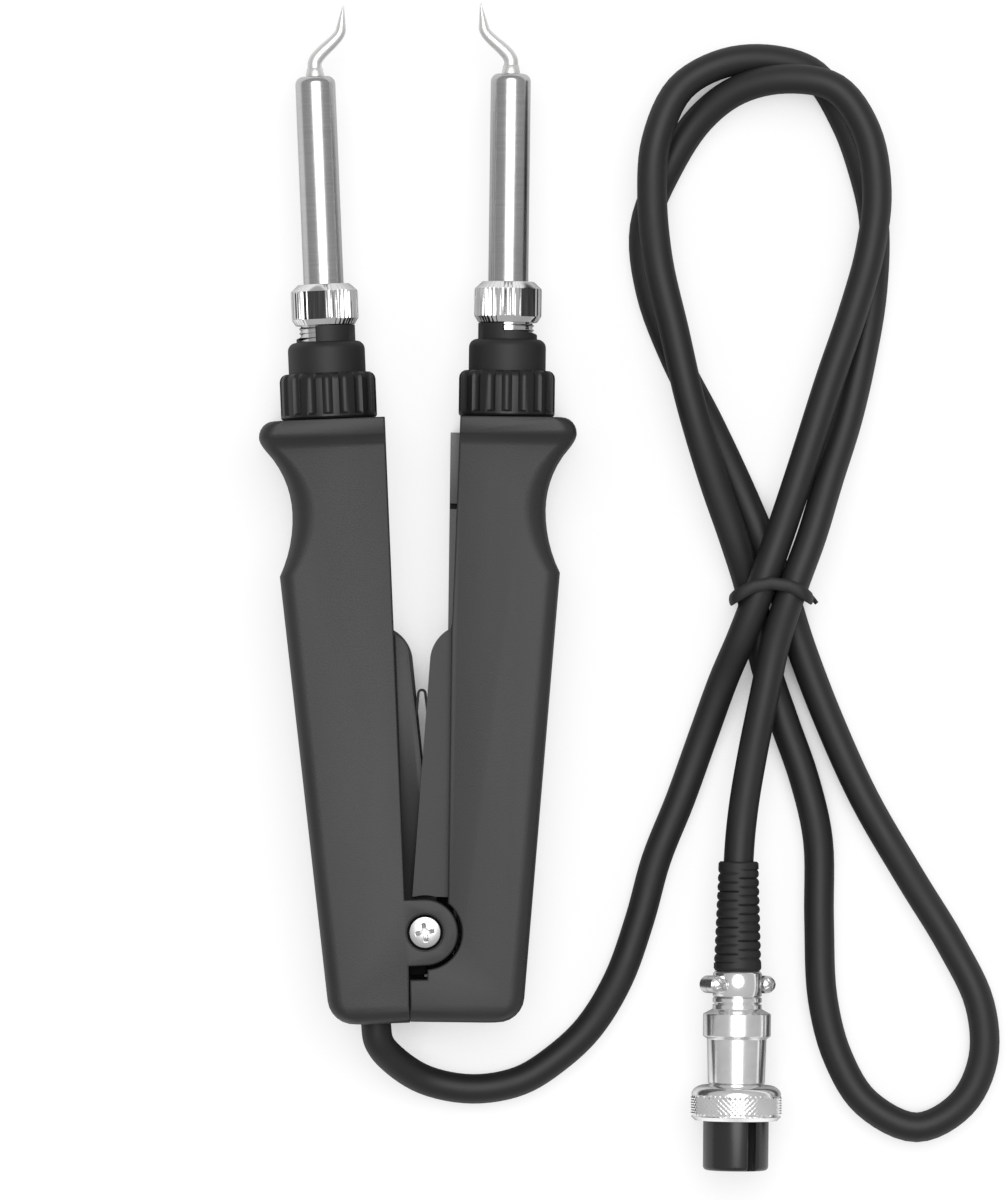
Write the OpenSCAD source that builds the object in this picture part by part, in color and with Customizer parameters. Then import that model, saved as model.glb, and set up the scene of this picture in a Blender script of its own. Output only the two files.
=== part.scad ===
// Heated soldering tweezers with a lead and a round threaded plug, in millimetres.
// The arms are modelled with the hinge on the Z axis, the tips towards +Y and the parting
// plane of the half shells at z = 0. The finished tool is then set down on its flanges with
// the middle of its footprint at the origin. The lead and the plug lie on the same surface.
// Both arms use the same two mouldings: a knuckle half, which carries the hinge, and a
// pocket half, which makes room for it. The left arm is the right one turned over.

/* [Arms] */
// Angle of each arm from the middle plane with the tweezers open
splay = 1.55; // [0.5:0.05:2.5]
// Angle that the right arm turns to close the tips
close_angle = 8.3; // [6:0.1:9]
// Length of an arm behind the hinge
arm_tail = 17.9; // [15:0.1:24]
// Distance from the hinge to the front face of the flange
arm_front = 103; // [98:0.5:115]
// Thickness of the two half shells together
arm_thick = 20; // [18:0.5:24]
// Thickness of the flange at the front end
flange_thick = 22.4; // [20.5:0.1:26]
// Wall of the half shells
wall = 2.4; // [2:0.1:3]
// Wall across the front end of an arm
end_wall = 2.6; // [2:0.1:4]
// Inner edge of a knuckle half, from the arm's hinge line
inner_edge = 3.8; // [3.4:0.1:4.6]
// Step back from a knuckle half's inner edge to a pocket half's
edge_step = 1.95; // [1.6:0.05:2.3]
// Narrowing of that step from the flange to the wings
edge_taper = 1.1; // [0:0.05:1.2]
// Inner edge of a pocket half beside the wings
channel_edge = 4.5; // [4.2:0.1:5.5]
// Outer edge beside the hinge
hinge_x = 20.9; // [19:0.1:23]
// Outer edge at the swelling behind the finger groove
bulge_x = 26; // [24.5:0.1:27]
// Place of the swelling along the arm
bulge_y = 72; // [68:0.5:76]
// Outer edge at the waist of the finger groove
waist_x = 23; // [22.4:0.1:24]
// Place of the waist along the arm
waist_y = 84.5; // [82:0.5:87]
// Outer edge of the flange's rounded lobe
lobe_x = 29; // [28:0.1:30]
// Length of the flange's thick ridge
ridge_len = 3.2; // [2.6:0.1:4]
// Length of the hollow that rises to the ridge
flare_len = 2.6; // [2:0.1:5]
// Radius of the long outer edges
edge_round = 3.2; // [2.6:0.1:4.5]
// Extra edge radius in the finger groove
groove_round = 1.6; // [0:0.1:2.5]
// Corner radius of the tail, seen from above
corner_round = 5; // [3.5:0.1:6]
// Radius of the tail's upper edge
tail_round = 3; // [1.5:0.1:4]
// Where the two tails meet, left of the hinge
stop_x = 3.2; // [2.8:0.1:3.6]
// Half of the gap between the tails at the open stop
stop_gap = 0.08; // [0.05:0.01:0.2]
// Half of the gap between parts that slide past each other at mid-height
slide_gap = 0.15; // [0.1:0.05:0.3]

/* [Wings] */
// Thickness of the webs that cover the gap near the hinge
wing_t = 1.6; // [1.2:0.1:2]
// Gap between webs that pass over each other
wing_gap = 0.3; // [0.2:0.05:0.5]
// Edge of a web at its front corner
wing_front_x = 0.3; // [0:0.1:1]
// Edge of a web at the hinge, past the middle
wing_back_x = -2.6; // [-3:0.1:-1.5]
// Front end of a web
wing_front = 61.5; // [56:0.5:66]
// Radius of a web's front corner
wing_round = 7.5; // [6:0.1:9]
// Set-back of the lower web's edge at its front corner
low_wing_back = 0.7; // [0:0.1:1]
// Front end of the lower web
low_wing_front = 59.8; // [56:0.1:62]
// Radius of the lower web's front corner
low_wing_round = 4.2; // [3:0.1:6]
// Gap between a web and the knuckle that it turns round
wing_back_gap = 0.5; // [0.3:0.1:1]

/* [Hinge] */
// Radius of the knuckles
knuckle_r = 6.6; // [6:0.1:7]
// Gap round a knuckle in the other arm's pocket
pocket_gap = 0.8; // [0.4:0.1:1.2]
// Depth of the relief notch behind the pocket
notch_depth = 2; // [1:0.1:2.4]
// Width of the relief notch past the middle
notch_x = 0.6; // [0:0.1:1.5]
// Diameter of the hinge screw
screw_d = 3; // [2.5:0.1:3.4]
// Diameter of the hinge screw's head
screw_head_d = 6.1; // [5.2:0.1:6.4]
// Height of the hinge screw's head
screw_head_h = 2; // [1.6:0.1:2.4]
// Radius of the dome on the hinge screw's head
screw_dome = 9; // [6:0.5:14]
// Diameter of the recess round the screw head
screw_recess_d = 7.2; // [6.8:0.1:8]
// Depth of the recess round the screw head
screw_recess = 2.4; // [2.3:0.1:3.6]
// Diameter of the brass bush that the arms turn on
pivot_bush_d = 5.2; // [4.6:0.1:5.6]
// Length of the brass bush
pivot_bush_len = 12; // [10:0.1:12.4]
// Width of the hinge nut across its flats
nut_flat = 5.5; // [5:0.1:6]
// Thickness of the hinge nut
nut_t = 2.4; // [2:0.1:2.6]

/* [Housing screws] */
// Diameter of the housing screws
case_screw_d = 2.4; // [2:0.1:2.8]
// Diameter of their heads
case_head_d = 4.4; // [3.8:0.1:4.8]
// Radius of the bosses
boss_r = 2.7; // [2.5:0.1:3.2]
// Rear boss, from the hinge along the arm
boss_rear_y = 25; // [22:0.5:32]
// Front boss, from the hinge along the arm
boss_front_y = 70; // [60:0.5:74]

/* [Heater head] */
// Distance of the barrel's axis from the arm's hinge line
head_axis = 14.95; // [14.8:0.05:15.5]
// Diameter of the fluted ring nut
ring_d = 19.2; // [17.5:0.1:19.4]
// Length of the fluted ring nut
ring_len = 9.2; // [7:0.1:11]
// Number of flutes round the ring nut
ring_flutes = 18; // [12:1:24]
// Diameter of the heater holder
holder_d = 15.4; // [14.4:0.1:16]
// Length of the holder in front of the flange
holder_len = 15.6; // [13.5:0.1:18]
// Radius of the holder's front shoulder
holder_round = 1.7; // [0.6:0.1:1.8]
// Diameter of the holder's neck in the end wall
shank_d = 10.8; // [9.6:0.1:11.4]
// Diameter of the half sleeve on the holder
sleeve_d = 11.8; // [11.4:0.1:12.6]
// Length of the half sleeve
sleeve_len = 3.2; // [2:0.1:5]
// Height of the ramp that leads up to the half sleeve
sleeve_ramp = 1.8; // [1:0.1:2.4]
// Turn of the left holder in its flange
left_holder_turn = -20; // [-90:1:90]
// Turn of the right holder in its flange
right_holder_turn = -9; // [-90:1:90]
// Diameter of the threaded bush
thread_d = 10.6; // [9.8:0.1:10.8]
// Depth of the threaded bush in the holder
thread_seat = 5; // [3:0.1:7]
// Diameter of the knurled barrel nut
nut_d = 13.4; // [12.8:0.1:14.5]
// Length of the barrel nut
nut_len = 8.2; // [7:0.1:10]
// Width of the barrel nut across its two wrench flats
nut_across = 12.4; // [12.1:0.1:12.6]
// Turn of the left nut's flats as it was tightened
left_nut_turn = -16; // [-90:1:90]
// Turn of the right nut's flats as it was tightened
right_nut_turn = 41; // [-90:1:90]
// Number of knurl teeth round the barrel nut
nut_teeth = 40; // [28:2:48]
// Thickness of the nut's front lip
nut_lip = 1.6; // [1.2:0.1:2]
// Outer diameter of the steel barrel
barrel_d = 8; // [7.2:0.1:8.6]
// Wall of the barrel
barrel_wall = 0.5; // [0.4:0.05:0.7]
// Length of the barrel in front of its nut
barrel_len = 41.6; // [34:0.1:48]
// Radius of the barrel's rounded end
barrel_round = 1.6; // [1:0.1:2]
// Diameter of the ceramic heater
heater_d = 4; // [3.6:0.1:4.4]
// Length of the heater inside the tip's shank
heater_reach = 30; // [20:0.5:34]

/* [Tips] */
// Diameter of the tip's shank inside the barrel
tip_shank_d = 6.5; // [6:0.1:6.6]
// Diameter of the tip's neck where it leaves the barrel
tip_neck_d = 3.6; // [3.2:0.1:4]
// Length of the neck in front of the barrel
tip_neck = 1.7; // [1:0.1:2]
// Diameter of the tip's rod
tip_rod_d = 2.8; // [2.2:0.1:3]
// Diameter where the rod turns forward again
tip_kink_d = 2; // [1.4:0.1:2.2]
// Length of the tip in front of the barrel
tip_len = 14; // [12:0.1:16]
// Length of the rod before it turns inwards
tip_rod = 0.8; // [0.6:0.1:2]
// Length of the straight needle at the end
tip_needle = 4.6; // [3:0.1:5]
// Gap left between the closed tips
tip_gap = 0.3; // [0.2:0.05:0.6]

/* [Spring and leads] */
// Distance from the hinge to the bend of the hairpin spring
spring_front = 48.5; // [44:0.5:52]
// Thickness of the spring strip
spring_t = 0.5; // [0.4:0.05:0.7]
// Width of the spring strip
spring_w = 6; // [4:0.1:6.4]
// Inner radius of the spring's bend
spring_bend = 0.45; // [0.3:0.05:0.7]
// Distance from the hinge to the feet of the spring
spring_foot = 18; // [17:0.1:24]
// Gap between the spring's legs and the arms
spring_gap = 0.15; // [0.1:0.05:0.3]
// Diameter of an insulated lead
lead_d = 1.6; // [1.2:0.1:1.8]
// Half of the height between the two leads of a pair
lead_rise = 1.1; // [1:0.05:1.3]

/* [Lead cord] */
// Diameter of the cord
cord_d = 6; // [5:0.1:6.4]
// Place of the cord in the left arm's tail, from the hinge line
cord_x = 10.6; // [10.2:0.1:11.2]
// Length of cord inside the tail
cord_inside = 11.2; // [9.8:0.1:11.4]
// Width of the clamp bar over the cord
clamp_w = 4; // [3:0.1:5]
// Thickness of the clamp bar
clamp_t = 2.2; // [1.6:0.1:2.8]
// Diameter of the clamp bar's screw
clamp_screw_d = 2; // [1.6:0.1:2]
// Radius of the clamp's post
clamp_post_r = 1.6; // [1.4:0.05:1.65]
// Width of the tie round the hank
tie_w = 2.4; // [1.6:0.1:3]
// Thickness of the tie
tie_t = 1; // [0.6:0.1:1.1]

/* [Plug] */
// Turn of the plug on the table from the tool's length
plug_yaw = 1.4; // [0:0.1:3]
// Roll of the plug about its own axis
plug_roll = 29; // [0:1:45]
// Length of the slotted rubber boot
boot_len = 21.8; // [16:0.1:26]
// Diameter of the boot at the cord
boot_d = 8; // [7.6:0.1:8.6]
// Diameter of the boot at the plug
boot_big_d = 9.6; // [9:0.1:9.8]
// Number of slot rows in the boot
boot_rows = 10; // [6:1:11]
// Length of the cable clamp
saddle_len = 5.4; // [4:0.1:6]
// Width of the cable clamp across its ears
saddle_w = 14.8; // [14.4:0.1:16]
// Diameter of the clamp screws
saddle_screw_d = 1.8; // [1.6:0.1:2]
// Diameter of the clamp screws' heads
saddle_head_d = 2.8; // [2.5:0.1:2.9]
// Diameter of the collar
collar_d = 9.8; // [9.4:0.1:10.4]
// Length of the collar
collar_len = 2.2; // [1.4:0.1:3]
// Diameter of the shell's band
band_d = 13.6; // [12.8:0.1:14.5]
// Length of the band with its cone
band_len = 6; // [4.5:0.1:7]
// Diameter of the shell's body behind the band
body_d = 12; // [11.8:0.1:12.4]
// Diameter of the shell's body at the coupling ring
body_small_d = 10.8; // [10.4:0.1:11]
// Length of the shell's body
body_len = 9.1; // [7:0.1:12]
// Diameter of the knurled coupling ring
coupling_d = 18.3; // [17.4:0.1:19]
// Length of the coupling ring
coupling_len = 7.2; // [6.6:0.1:9]
// Diameter of the insulating insert
insert_d = 13.1; // [12.6:0.1:13.3]
// Length of the insert in front of the coupling ring
insert_len = 10; // [8:0.1:12]
// Diameter of the contact holes
contact_d = 1.6; // [1.2:0.1:1.8]
// Number of contacts in the outer circle
contact_count = 7; // [5:1:7]

/* [Fits] */
// Clearance round parts that turn in each other
run_fit = 0.05; // [0.03:0.01:0.08]
// Clearance round parts that are put in each other
seat_fit = 0.1; // [0.05:0.01:0.15]

/* [Hidden] */
$fn = 64;
plastic = [0.27, 0.27, 0.28];
black = [0.09, 0.09, 0.1];
steel = [0.72, 0.72, 0.74];
chrome = [0.8, 0.8, 0.82];
brass = [0.78, 0.62, 0.32];
ceramic = [0.93, 0.91, 0.87];
rubber = [0.12, 0.12, 0.13];
past = 1;
far = 60;

half_t = arm_thick / 2;
floor_t = half_t - wall;
pocket_edge = inner_edge + edge_step;
pocket_r = knuckle_r + pocket_gap;
lobe_y = arm_front - ridge_len;
under_y = lobe_y - 2.6;
under_x = lobe_x - 1.2;
nose_x = lobe_x - 3;
toe_y = -pocket_r - notch_depth;
front_in = arm_front - end_wall;
wing_back = knuckle_r + wing_back_gap;
nut_sink = 0.3;

top_wing_z = floor_t - wing_gap - wing_t + 0.4;
low_wing_z = top_wing_z - wing_gap - wing_t;

ring_y = arm_front + seat_fit;
holder_top = arm_front + holder_len;
sleeve_top = holder_top + sleeve_len;
nut_y = sleeve_top + seat_fit;
nut_top = nut_y + nut_len;
barrel_seat = nut_top - nut_lip;
barrel_rim_t = 0.9;
barrel_base = barrel_seat - barrel_rim_t;
barrel_top = nut_top + barrel_len;
barrel_cap = 1.5;
barrel_bore_r = barrel_d / 2 - barrel_wall;
tip_seat = barrel_top - barrel_cap;
tip_base = barrel_base + 6;
tip_bevel = 0.2;
heater_end_gap = 0.5;
thread_base = holder_top - thread_seat;
heater_bore_r = heater_d / 2 + seat_fit;
rear_rim_t = 2.4;
rear_rim_r = head_axis - pocket_edge - wall - seat_fit;
heater_base = front_in;
heater_top = barrel_base + heater_reach;
heater_collar_r = 3.1;

tip_y = barrel_top + tip_len;
tip_point_r = 0.12;
tip_kink_y = tip_y - tip_needle;
tip_x = closed_x(tip_y, tip_point_r);

rest_z = flange_thick / 2;
tip_rest_y = tip_y * cos(splay) - tip_x * sin(splay);
tail_rest_y = arm_tail * cos(splay) + (outer_line(-arm_tail) - corner_round) * sin(splay);
frame_y = (tip_rest_y - tail_rest_y) / 2;

rear_boss = [outer_line(boss_rear_y) - wall - boss_r - 0.4, boss_rear_y];
front_boss = [outer_line(boss_front_y) - wall - boss_r - 0.6, boss_front_y];
bosses = [rear_boss, front_boss];
boss_head = 2;
boss_pilot = 6;
case_overlap = 0.15;
case_sink = 0.4;

cord_r = cord_d / 2;
cord_in_y = -arm_tail + cord_inside;
lead_start = cord_in_y + 0.05;
lead_side = 1.15;
cross_y = wing_back + 3.9;
clamp_y = -arm_tail + wall + clamp_w / 2 + 0.8;
clamp_z = cord_r - 0.2;
clamp_post = cord_x + cord_r + seat_fit + clamp_post_r;
clamp_rib_t = 1.1;
clamp_screw_len = 7;
clamp_head_h = 1.4;
clamp_rib = cord_x - cord_r - seat_fit - clamp_rib_t;
clamp_post_len = clamp_z + half_t - wall / 2;

// The cord's centreline on the table, from the tail to the plug's boot.
cord_route = [
    [-9.6, -22, 10.4], [-7, -25.5, 7.8], [-0.5, -30, 4.2], [9, -32, 3], [18.5, -30.5, 3],
    [26, -26, 3], [32.5, -20, 3], [38.5, -10.5, 3], [43, 1.5, 3], [46.5, 13.5, 3],
    [51.5, 25.5, 3], [56, 37.5, 3.2], [60.5, 49.5, 5.4], [64, 57.5, 8.8], [68, 67.5, 10.5],
    [73, 81, 10.2], [77.5, 94, 9.8], [82.5, 109, 9.5], [87.5, 123, 9.4], [91, 135, 9.4],
    [92.5, 147, 9.4], [90.5, 159, 9.4], [84.5, 167.5, 9.4], [74.5, 169.5, 8.4],
    [65, 167.5, 6.2], [57.5, 162, 4.2], [51, 152.5, 3.1], [46, 140.5, 3], [47, 127.5, 3],
    [52, 113.5, 3], [58, 101.5, 3], [63.5, 89.5, 3], [68.5, 77.5, 3.6], [72.5, 67.5, 4.2],
    [76, 56, 3.4], [81.5, 41, 3], [88.5, 25, 3], [97.5, 9, 3], [105.5, -4.5, 3],
    [111, -16.5, 3], [111.5, -27.5, 3], [107, -36.5, 3], [98, -41, 3], [88, -36, 3],
    [82.5, -27, 3], [79.5, -15, 3], [79, 1, 3], [79, 17, 3], [76.5, 29, 3], [72.5, 41, 3],
    [69, 52, 3.2], [66, 67.5, 4.2], [63, 77.5, 6.8], [59, 89.5, 8.4], [54.5, 105.5, 9.3],
    [51.5, 119.5, 9.4], [48.5, 133.5, 9.4], [47.5, 146.5, 9.4], [48.5, 157.5, 8.8],
    [53.5, 168, 7.2], [62.5, 173, 5.6], [72.5, 173.5, 4], [80.5, 170.5, 3.1],
    [86.5, 161, 3], [90, 151, 3], [92, 141, 3], [91.5, 127, 3], [89, 113, 3.6],
    [86, 101, 5.2], [82, 89, 7.8], [78.5, 78, 9.8], [74.5, 67.5, 10.5], [71, 57, 9.7],
    [68.5, 46, 9.4], [66, 34.5, 9], [64, 23.5, 9]
];
tie_at = [70.2, 67.5];
tie_span = 16.2;
tie_top = 10.5 + cord_r + seat_fit;
plug_at = [62.9, 13];

plug_z = coupling_d / 2;
saddle_z = boot_len + seat_fit;
collar_z = saddle_z + saddle_len;
band_z = collar_z + collar_len;
body_z = band_z + band_len;
coupling_z = body_z + body_len;
saddle_ear_t = 4.6;
saddle_split = 0.1;
saddle_head_h = 1.3;
saddle_lug = 1.75;
saddle_hole_x = saddle_w / 2 - saddle_lug;
coupling_lip = 1.6;
body_end = coupling_z + coupling_lip + 0.2;
shell_rim_t = 1.4;
insert_z = body_end + shell_rim_t;
insert_end = coupling_z + coupling_len + insert_len;
coupling_bore_r = insert_d / 2 + 1;
cord_end_z = boot_len + saddle_len + collar_len;

// Centre of a round of radius r that keeps to its side of the middle plane when closed.
function closed_x(y, r) =
    let (turn = close_angle / 2 - splay) (tip_gap / 2 + r + y * sin(turn)) / cos(turn);

// Straight outer edge of an arm from the tail to the swelling.
function outer_line(y) = hinge_x + (bulge_x - hinge_x) * y / bulge_y;

// Edge along an arc that is deepest at the waist and passes through the point [x, y].
function waist_arc(at, x, y) =
    let (rise = x - waist_x, run = y - waist_y, r = (rise * rise + run * run) / (2 * rise))
    waist_x + r - sqrt(r * r - (at - waist_y) * (at - waist_y));

// Outer edge of an arm: tail corner, straight taper, finger groove, lobe and nose.
function outer_x(y) =
    y < corner_round - arm_tail
        ? outer_line(y) - corner_round
            + sqrt(max(0, pow(corner_round, 2) - pow(corner_round - arm_tail - y, 2)))
    : y <= bulge_y ? outer_line(y)
    : y <= waist_y ? waist_arc(y, bulge_x, bulge_y)
    : y <= under_y ? waist_arc(y, under_x, under_y)
    : y <= lobe_y ? under_x + (lobe_x - under_x) * sin(90 * (y - under_y) / (lobe_y - under_y))
    : nose_x + (lobe_x - nose_x) * sqrt(max(0, 1 - pow((y - lobe_y) / ridge_len, 2)));

// Half thickness of an arm: rounded tail, flat body, hollow rise and flange ridge.
function face_z(y) =
    y < tail_round - arm_tail
        ? half_t - tail_round
            + sqrt(max(0, pow(tail_round, 2) - pow(tail_round - arm_tail - y, 2)))
    : y < lobe_y - flare_len ? half_t
    : y < lobe_y
        ? half_t + (flange_thick / 2 - half_t) * (1 - cos(90 * (y - lobe_y + flare_len) / flare_len))
    : flange_thick / 2;

// Radius of the long outer edge, larger in the finger groove.
function edge_r(y) =
    y <= bulge_y || y >= under_y ? edge_round
    : edge_round + groove_round * sin(180 * (y - bulge_y) / (under_y - bulge_y));

// Stations along an arm, close together where the outline curves.
arm_stations = concat(
    [for (a = [0:15:90]) corner_round * (1 - cos(a)) - arm_tail],
    [for (k = [0:5]) bulge_y + (waist_y - bulge_y) * k / 6],
    [for (k = [0:6]) waist_y + (under_y - waist_y) * k / 7],
    [for (k = [0:4]) under_y + (lobe_y - under_y) * k / 5],
    [for (a = [0:15:90]) lobe_y + ridge_len * sin(a)]
);

// One cross-section of a half shell: the outer edge, its rounding, the face and the inner side.
function arm_ring(y, inset, base) =
    let (x = outer_x(y) - inset, z = face_z(y) - inset, r = max(0.6, edge_r(y) - inset))
    concat(
        [[x, y, base]],
        [for (a = [0:15:90]) [x - r + r * cos(a), y, z - r + r * sin(a)]],
        [[-far, y, z], [-far, y, base]]
    );

// A cavity's cross-section: as the shell's, inside its wall, with a level ceiling.
function cavity_ring(y) =
    let (x = min(outer_x(y), lobe_x - 3) - wall, r = max(0.6, edge_r(y) - wall))
    concat(
        [[x, y, -past]],
        [for (a = [0:30:90]) [x - r + r * cos(a), y, floor_t - r + r * sin(a)]],
        [[-far, y, floor_t], [-far, y, -past]]
    );

function unit(v) = v / norm(v);
function heading(path, i) = unit(path[min(i + 1, len(path) - 1)] - path[max(i - 1, 0)]);

// A round section of a swept path at point i.
function tube_ring(path, i, r, sides) =
    let (t = heading(path, i), s = unit(cross(t, [0, 0, 1])), u = cross(s, t))
    [for (k = [0:sides - 1]) path[i] + r * (cos(360 * k / sides) * s + sin(360 * k / sides) * u)];

// A point of the right arm's plan, given where it lies with the tweezers open.
function from_rest(x, y) = [x * cos(splay) - y * sin(splay), x * sin(splay) + y * cos(splay)];
function to_rest(x, y) = [x * cos(splay) + y * sin(splay), y * cos(splay) - x * sin(splay)];

// Solid through rings that have the same number of points.
module loft(rings) {
    n = len(rings[0]);
    last = (len(rings) - 1) * n;
    polyhedron(
        points = [for (ring = rings) each ring],
        faces = concat(
            [[for (k = [n - 1:-1:0]) k], [for (k = [0:n - 1]) last + k]],
            [for (i = [0:len(rings) - 2], k = [0:n - 1])
                [i * n + k, i * n + (k + 1) % n, (i + 1) * n + (k + 1) % n]],
            [for (i = [0:len(rings) - 2], k = [0:n - 1])
                [i * n + k, (i + 1) * n + (k + 1) % n, (i + 1) * n + k]]
        ),
        convexity = 6
    );
}

module sweep(path, radii, sides) {
    loft([for (i = [0:len(path) - 1]) tube_ring(path, i, radii[i], sides)]);
}

module tube(path, r, sides = 8) {
    sweep(path, [for (p = path) r], sides);
}

// Sets the arms down on their flanges.
module stood() {
    translate([0, -frame_y, rest_z]) children();
}

// Sets the cord and the plug on the table.
module laid() {
    translate([0, -frame_y, 0]) children();
}

module right_arm() {
    stood() rotate([0, 0, -splay]) children();
}

module left_arm() {
    stood() rotate([0, 0, splay]) rotate([0, 180, 0]) children();
}

// Stands a turned part's Z axis along the barrel.
module on_barrel() {
    translate([head_axis, 0, 0]) rotate([-90, 0, 0]) children();
}

module knuckle_plan(edge, grow = 0) {
    polygon([
        [edge, 0], [edge, far * 3], [far, far * 3], [far, -far],
        from_rest(stop_x + stop_gap + grow, -far), from_rest(stop_x + stop_gap + grow, 0)
    ]);
}

// Plan of a knuckle: round towards the other arm and square against its own.
module knuckle_round() {
    circle(r = knuckle_r);
    translate([0, -knuckle_r]) square([inner_edge, 2 * knuckle_r]);
}

module pocket_plan(grow = 0) {
    polygon([
        [pocket_edge + grow, far * 3], [far, far * 3], [far, -far],
        from_rest(stop_gap - stop_x + grow, -far), from_rest(stop_gap - stop_x + grow, toe_y - grow),
        [notch_x + grow, toe_y - grow], [notch_x + grow, -knuckle_r / 2 - grow],
        [channel_edge + grow, -knuckle_r / 2 - grow],
        [channel_edge + grow, wing_front - grow],
        [pocket_edge - edge_taper + grow, wing_front - grow], [pocket_edge + grow, arm_front]
    ]);
}

// Plan of a wing: a slanted edge past the middle and a round front corner.
module wing_plan(root, x, front, r) {
    corner_y = front - r;
    polygon([[x, corner_y], [wing_back_x, wing_back], [root, wing_back], [root, corner_y]]);
    intersection() {
        translate([x + r, corner_y]) circle(r = r);
        translate([x, corner_y - past]) square([root - x, r + past]);
    }
    if (root > x + r) translate([x + r - past, corner_y - past]) square([root - x - r + past, r + past]);
}

module arm_block() {
    loft([for (y = arm_stations) arm_ring(y, 0, 0)]);
}

module arm_cavity() {
    loft(concat(
        [cavity_ring(wall - arm_tail)],
        [for (y = arm_stations) if (y > wall - arm_tail + 0.2 && y < front_in - 0.2) cavity_ring(y)],
        [cavity_ring(front_in)]
    ));
}

// Holes of the housing screws: heads and clear holes below, blind pilots above.
module boss_holes(headed) {
    for (b = bosses) translate([b[0], b[1], -past]) {
        if (headed) {
            cylinder(d = case_screw_d + 2 * seat_fit, h = half_t + 2 * past);
            translate([0, 0, past + half_t - boss_head])
                cylinder(d = case_head_d + 2 * seat_fit, h = far);
        } else {
            cylinder(d = case_screw_d + 2 * run_fit, h = past + boss_pilot);
        }
    }
}

module head_hole() {
    on_barrel() translate([0, 0, front_in - past]) cylinder(d = shank_d + 2 * seat_fit, h = far);
}

module cord_hole() {
    translate([cord_x, -arm_tail - past, 0]) rotate([-90, 0, 0])
        cylinder(d = cord_d + 2 * seat_fit, h = wall + 2 * past);
}

// Slots in the inner walls for the leads and for the feet of the spring.
module channel_slots(edge) {
    translate([edge - past, wing_back + 1.6, -past])
        cube([wall + 2 * past, 4.4, past + lead_rise + lead_d / 2 + 0.7]);
    translate([edge - past, spring_foot - 1.2, -past])
        cube([wall + 2 * past, 1.9, past + spring_w / 2 + 0.3]);
}

// Knuckle half, as the upper half of an arm on the right of the hinge. Its web meets the
// knuckle, and a floor at the parting plane closes the relief notch behind it.
module knuckle_half(headed) {
    difference() {
        union() {
            difference() {
                intersection() {
                    arm_block();
                    translate([0, 0, -past]) linear_extrude(far) union() {
                        knuckle_plan(inner_edge);
                        knuckle_round();
                    }
                }
                intersection() {
                    arm_cavity();
                    translate([0, 0, -far]) linear_extrude(2 * far) difference() {
                        knuckle_plan(inner_edge + wall, wall);
                        circle(r = knuckle_r);
                    }
                }
            }
            translate([0, 0, low_wing_z]) linear_extrude(wing_t) {
                wing_plan(
                    inner_edge + wall / 2, wing_front_x + low_wing_back, low_wing_front, low_wing_round
                );
                translate([wing_back_x, 0]) square([inner_edge - wing_back_x, wing_back]);
            }
            translate([seat_fit, toe_y + pocket_gap, slide_gap])
                cube([stop_x, -toe_y - pocket_gap, wing_t]);
            for (b = bosses) translate([b[0], b[1], 0]) cylinder(r = boss_r, h = half_t - wall / 2);
        }
        boss_holes(headed);
        head_hole();
        channel_slots(inner_edge);
        translate([inner_edge - past, wing_back, top_wing_z - wing_gap / 2])
            cube([past + wall / 2, wing_front - wing_back + past, wing_t + wing_gap]);
        translate([-far, -far, -past])
            cube([far + pocket_edge - seat_fit, far * 4, past + slide_gap]);
        translate([0, 0, -past])
            cylinder(d = pivot_bush_d + 2 * run_fit, h = past + pivot_bush_len / 2);
        translate([0, 0, -past]) cylinder(d = screw_d + 2 * seat_fit, h = far);
    }
}

// Pocket half, as the upper half of an arm on the right of the hinge.
module pocket_half(headed) {
    difference() {
        union() {
            difference() {
                intersection() {
                    arm_block();
                    translate([0, 0, -past]) linear_extrude(far) pocket_plan();
                }
                intersection() {
                    arm_cavity();
                    translate([0, 0, -far]) linear_extrude(2 * far) difference() {
                        pocket_plan(wall);
                        circle(r = pocket_r + wall);
                    }
                }
            }
            translate([0, 0, top_wing_z]) linear_extrude(wing_t)
                wing_plan(channel_edge + wall / 2, wing_front_x, wing_front, wing_round);
            for (b = bosses) translate([b[0], b[1], 0]) cylinder(r = boss_r, h = half_t - wall / 2);
        }
        boss_holes(headed);
        head_hole();
        channel_slots(channel_edge);
        translate([channel_edge - past, wing_back, low_wing_z - wing_gap / 2])
            cube([past + wall / 3, wing_front - wing_back + past, wing_t + wing_gap]);
        translate([0, 0, -past]) cylinder(r = pocket_r, h = far);
        translate([-far, toe_y, -past]) cube([far + notch_x, -toe_y, far]);
        translate([-far, -far, -past]) cube([far + stop_x + slide_gap, far, past + slide_gap]);
    }
}

module left_upper_shell() {
    color(plastic) left_arm() mirror([0, 0, 1]) difference() {
        knuckle_half(false);
        translate([0, 0, half_t - screw_recess]) cylinder(d = screw_recess_d, h = far);
        cord_hole();
    }
}

module left_lower_shell() {
    color(plastic) left_arm() difference() {
        union() {
            pocket_half(true);
            translate([clamp_post, clamp_y, -clamp_z]) cylinder(r = clamp_post_r, h = clamp_post_len);
            translate([clamp_rib, clamp_y - clamp_w / 2, -clamp_z])
                cube([clamp_rib_t, clamp_w, clamp_post_len]);
        }
        translate([clamp_post, clamp_y, -clamp_z - past])
            cylinder(d = clamp_screw_d + 2 * run_fit, h = clamp_screw_len + past);
        cord_groove();
        cord_hole();
    }
}

module right_upper_shell() {
    color(plastic) right_arm() pocket_half(false);
}

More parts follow.
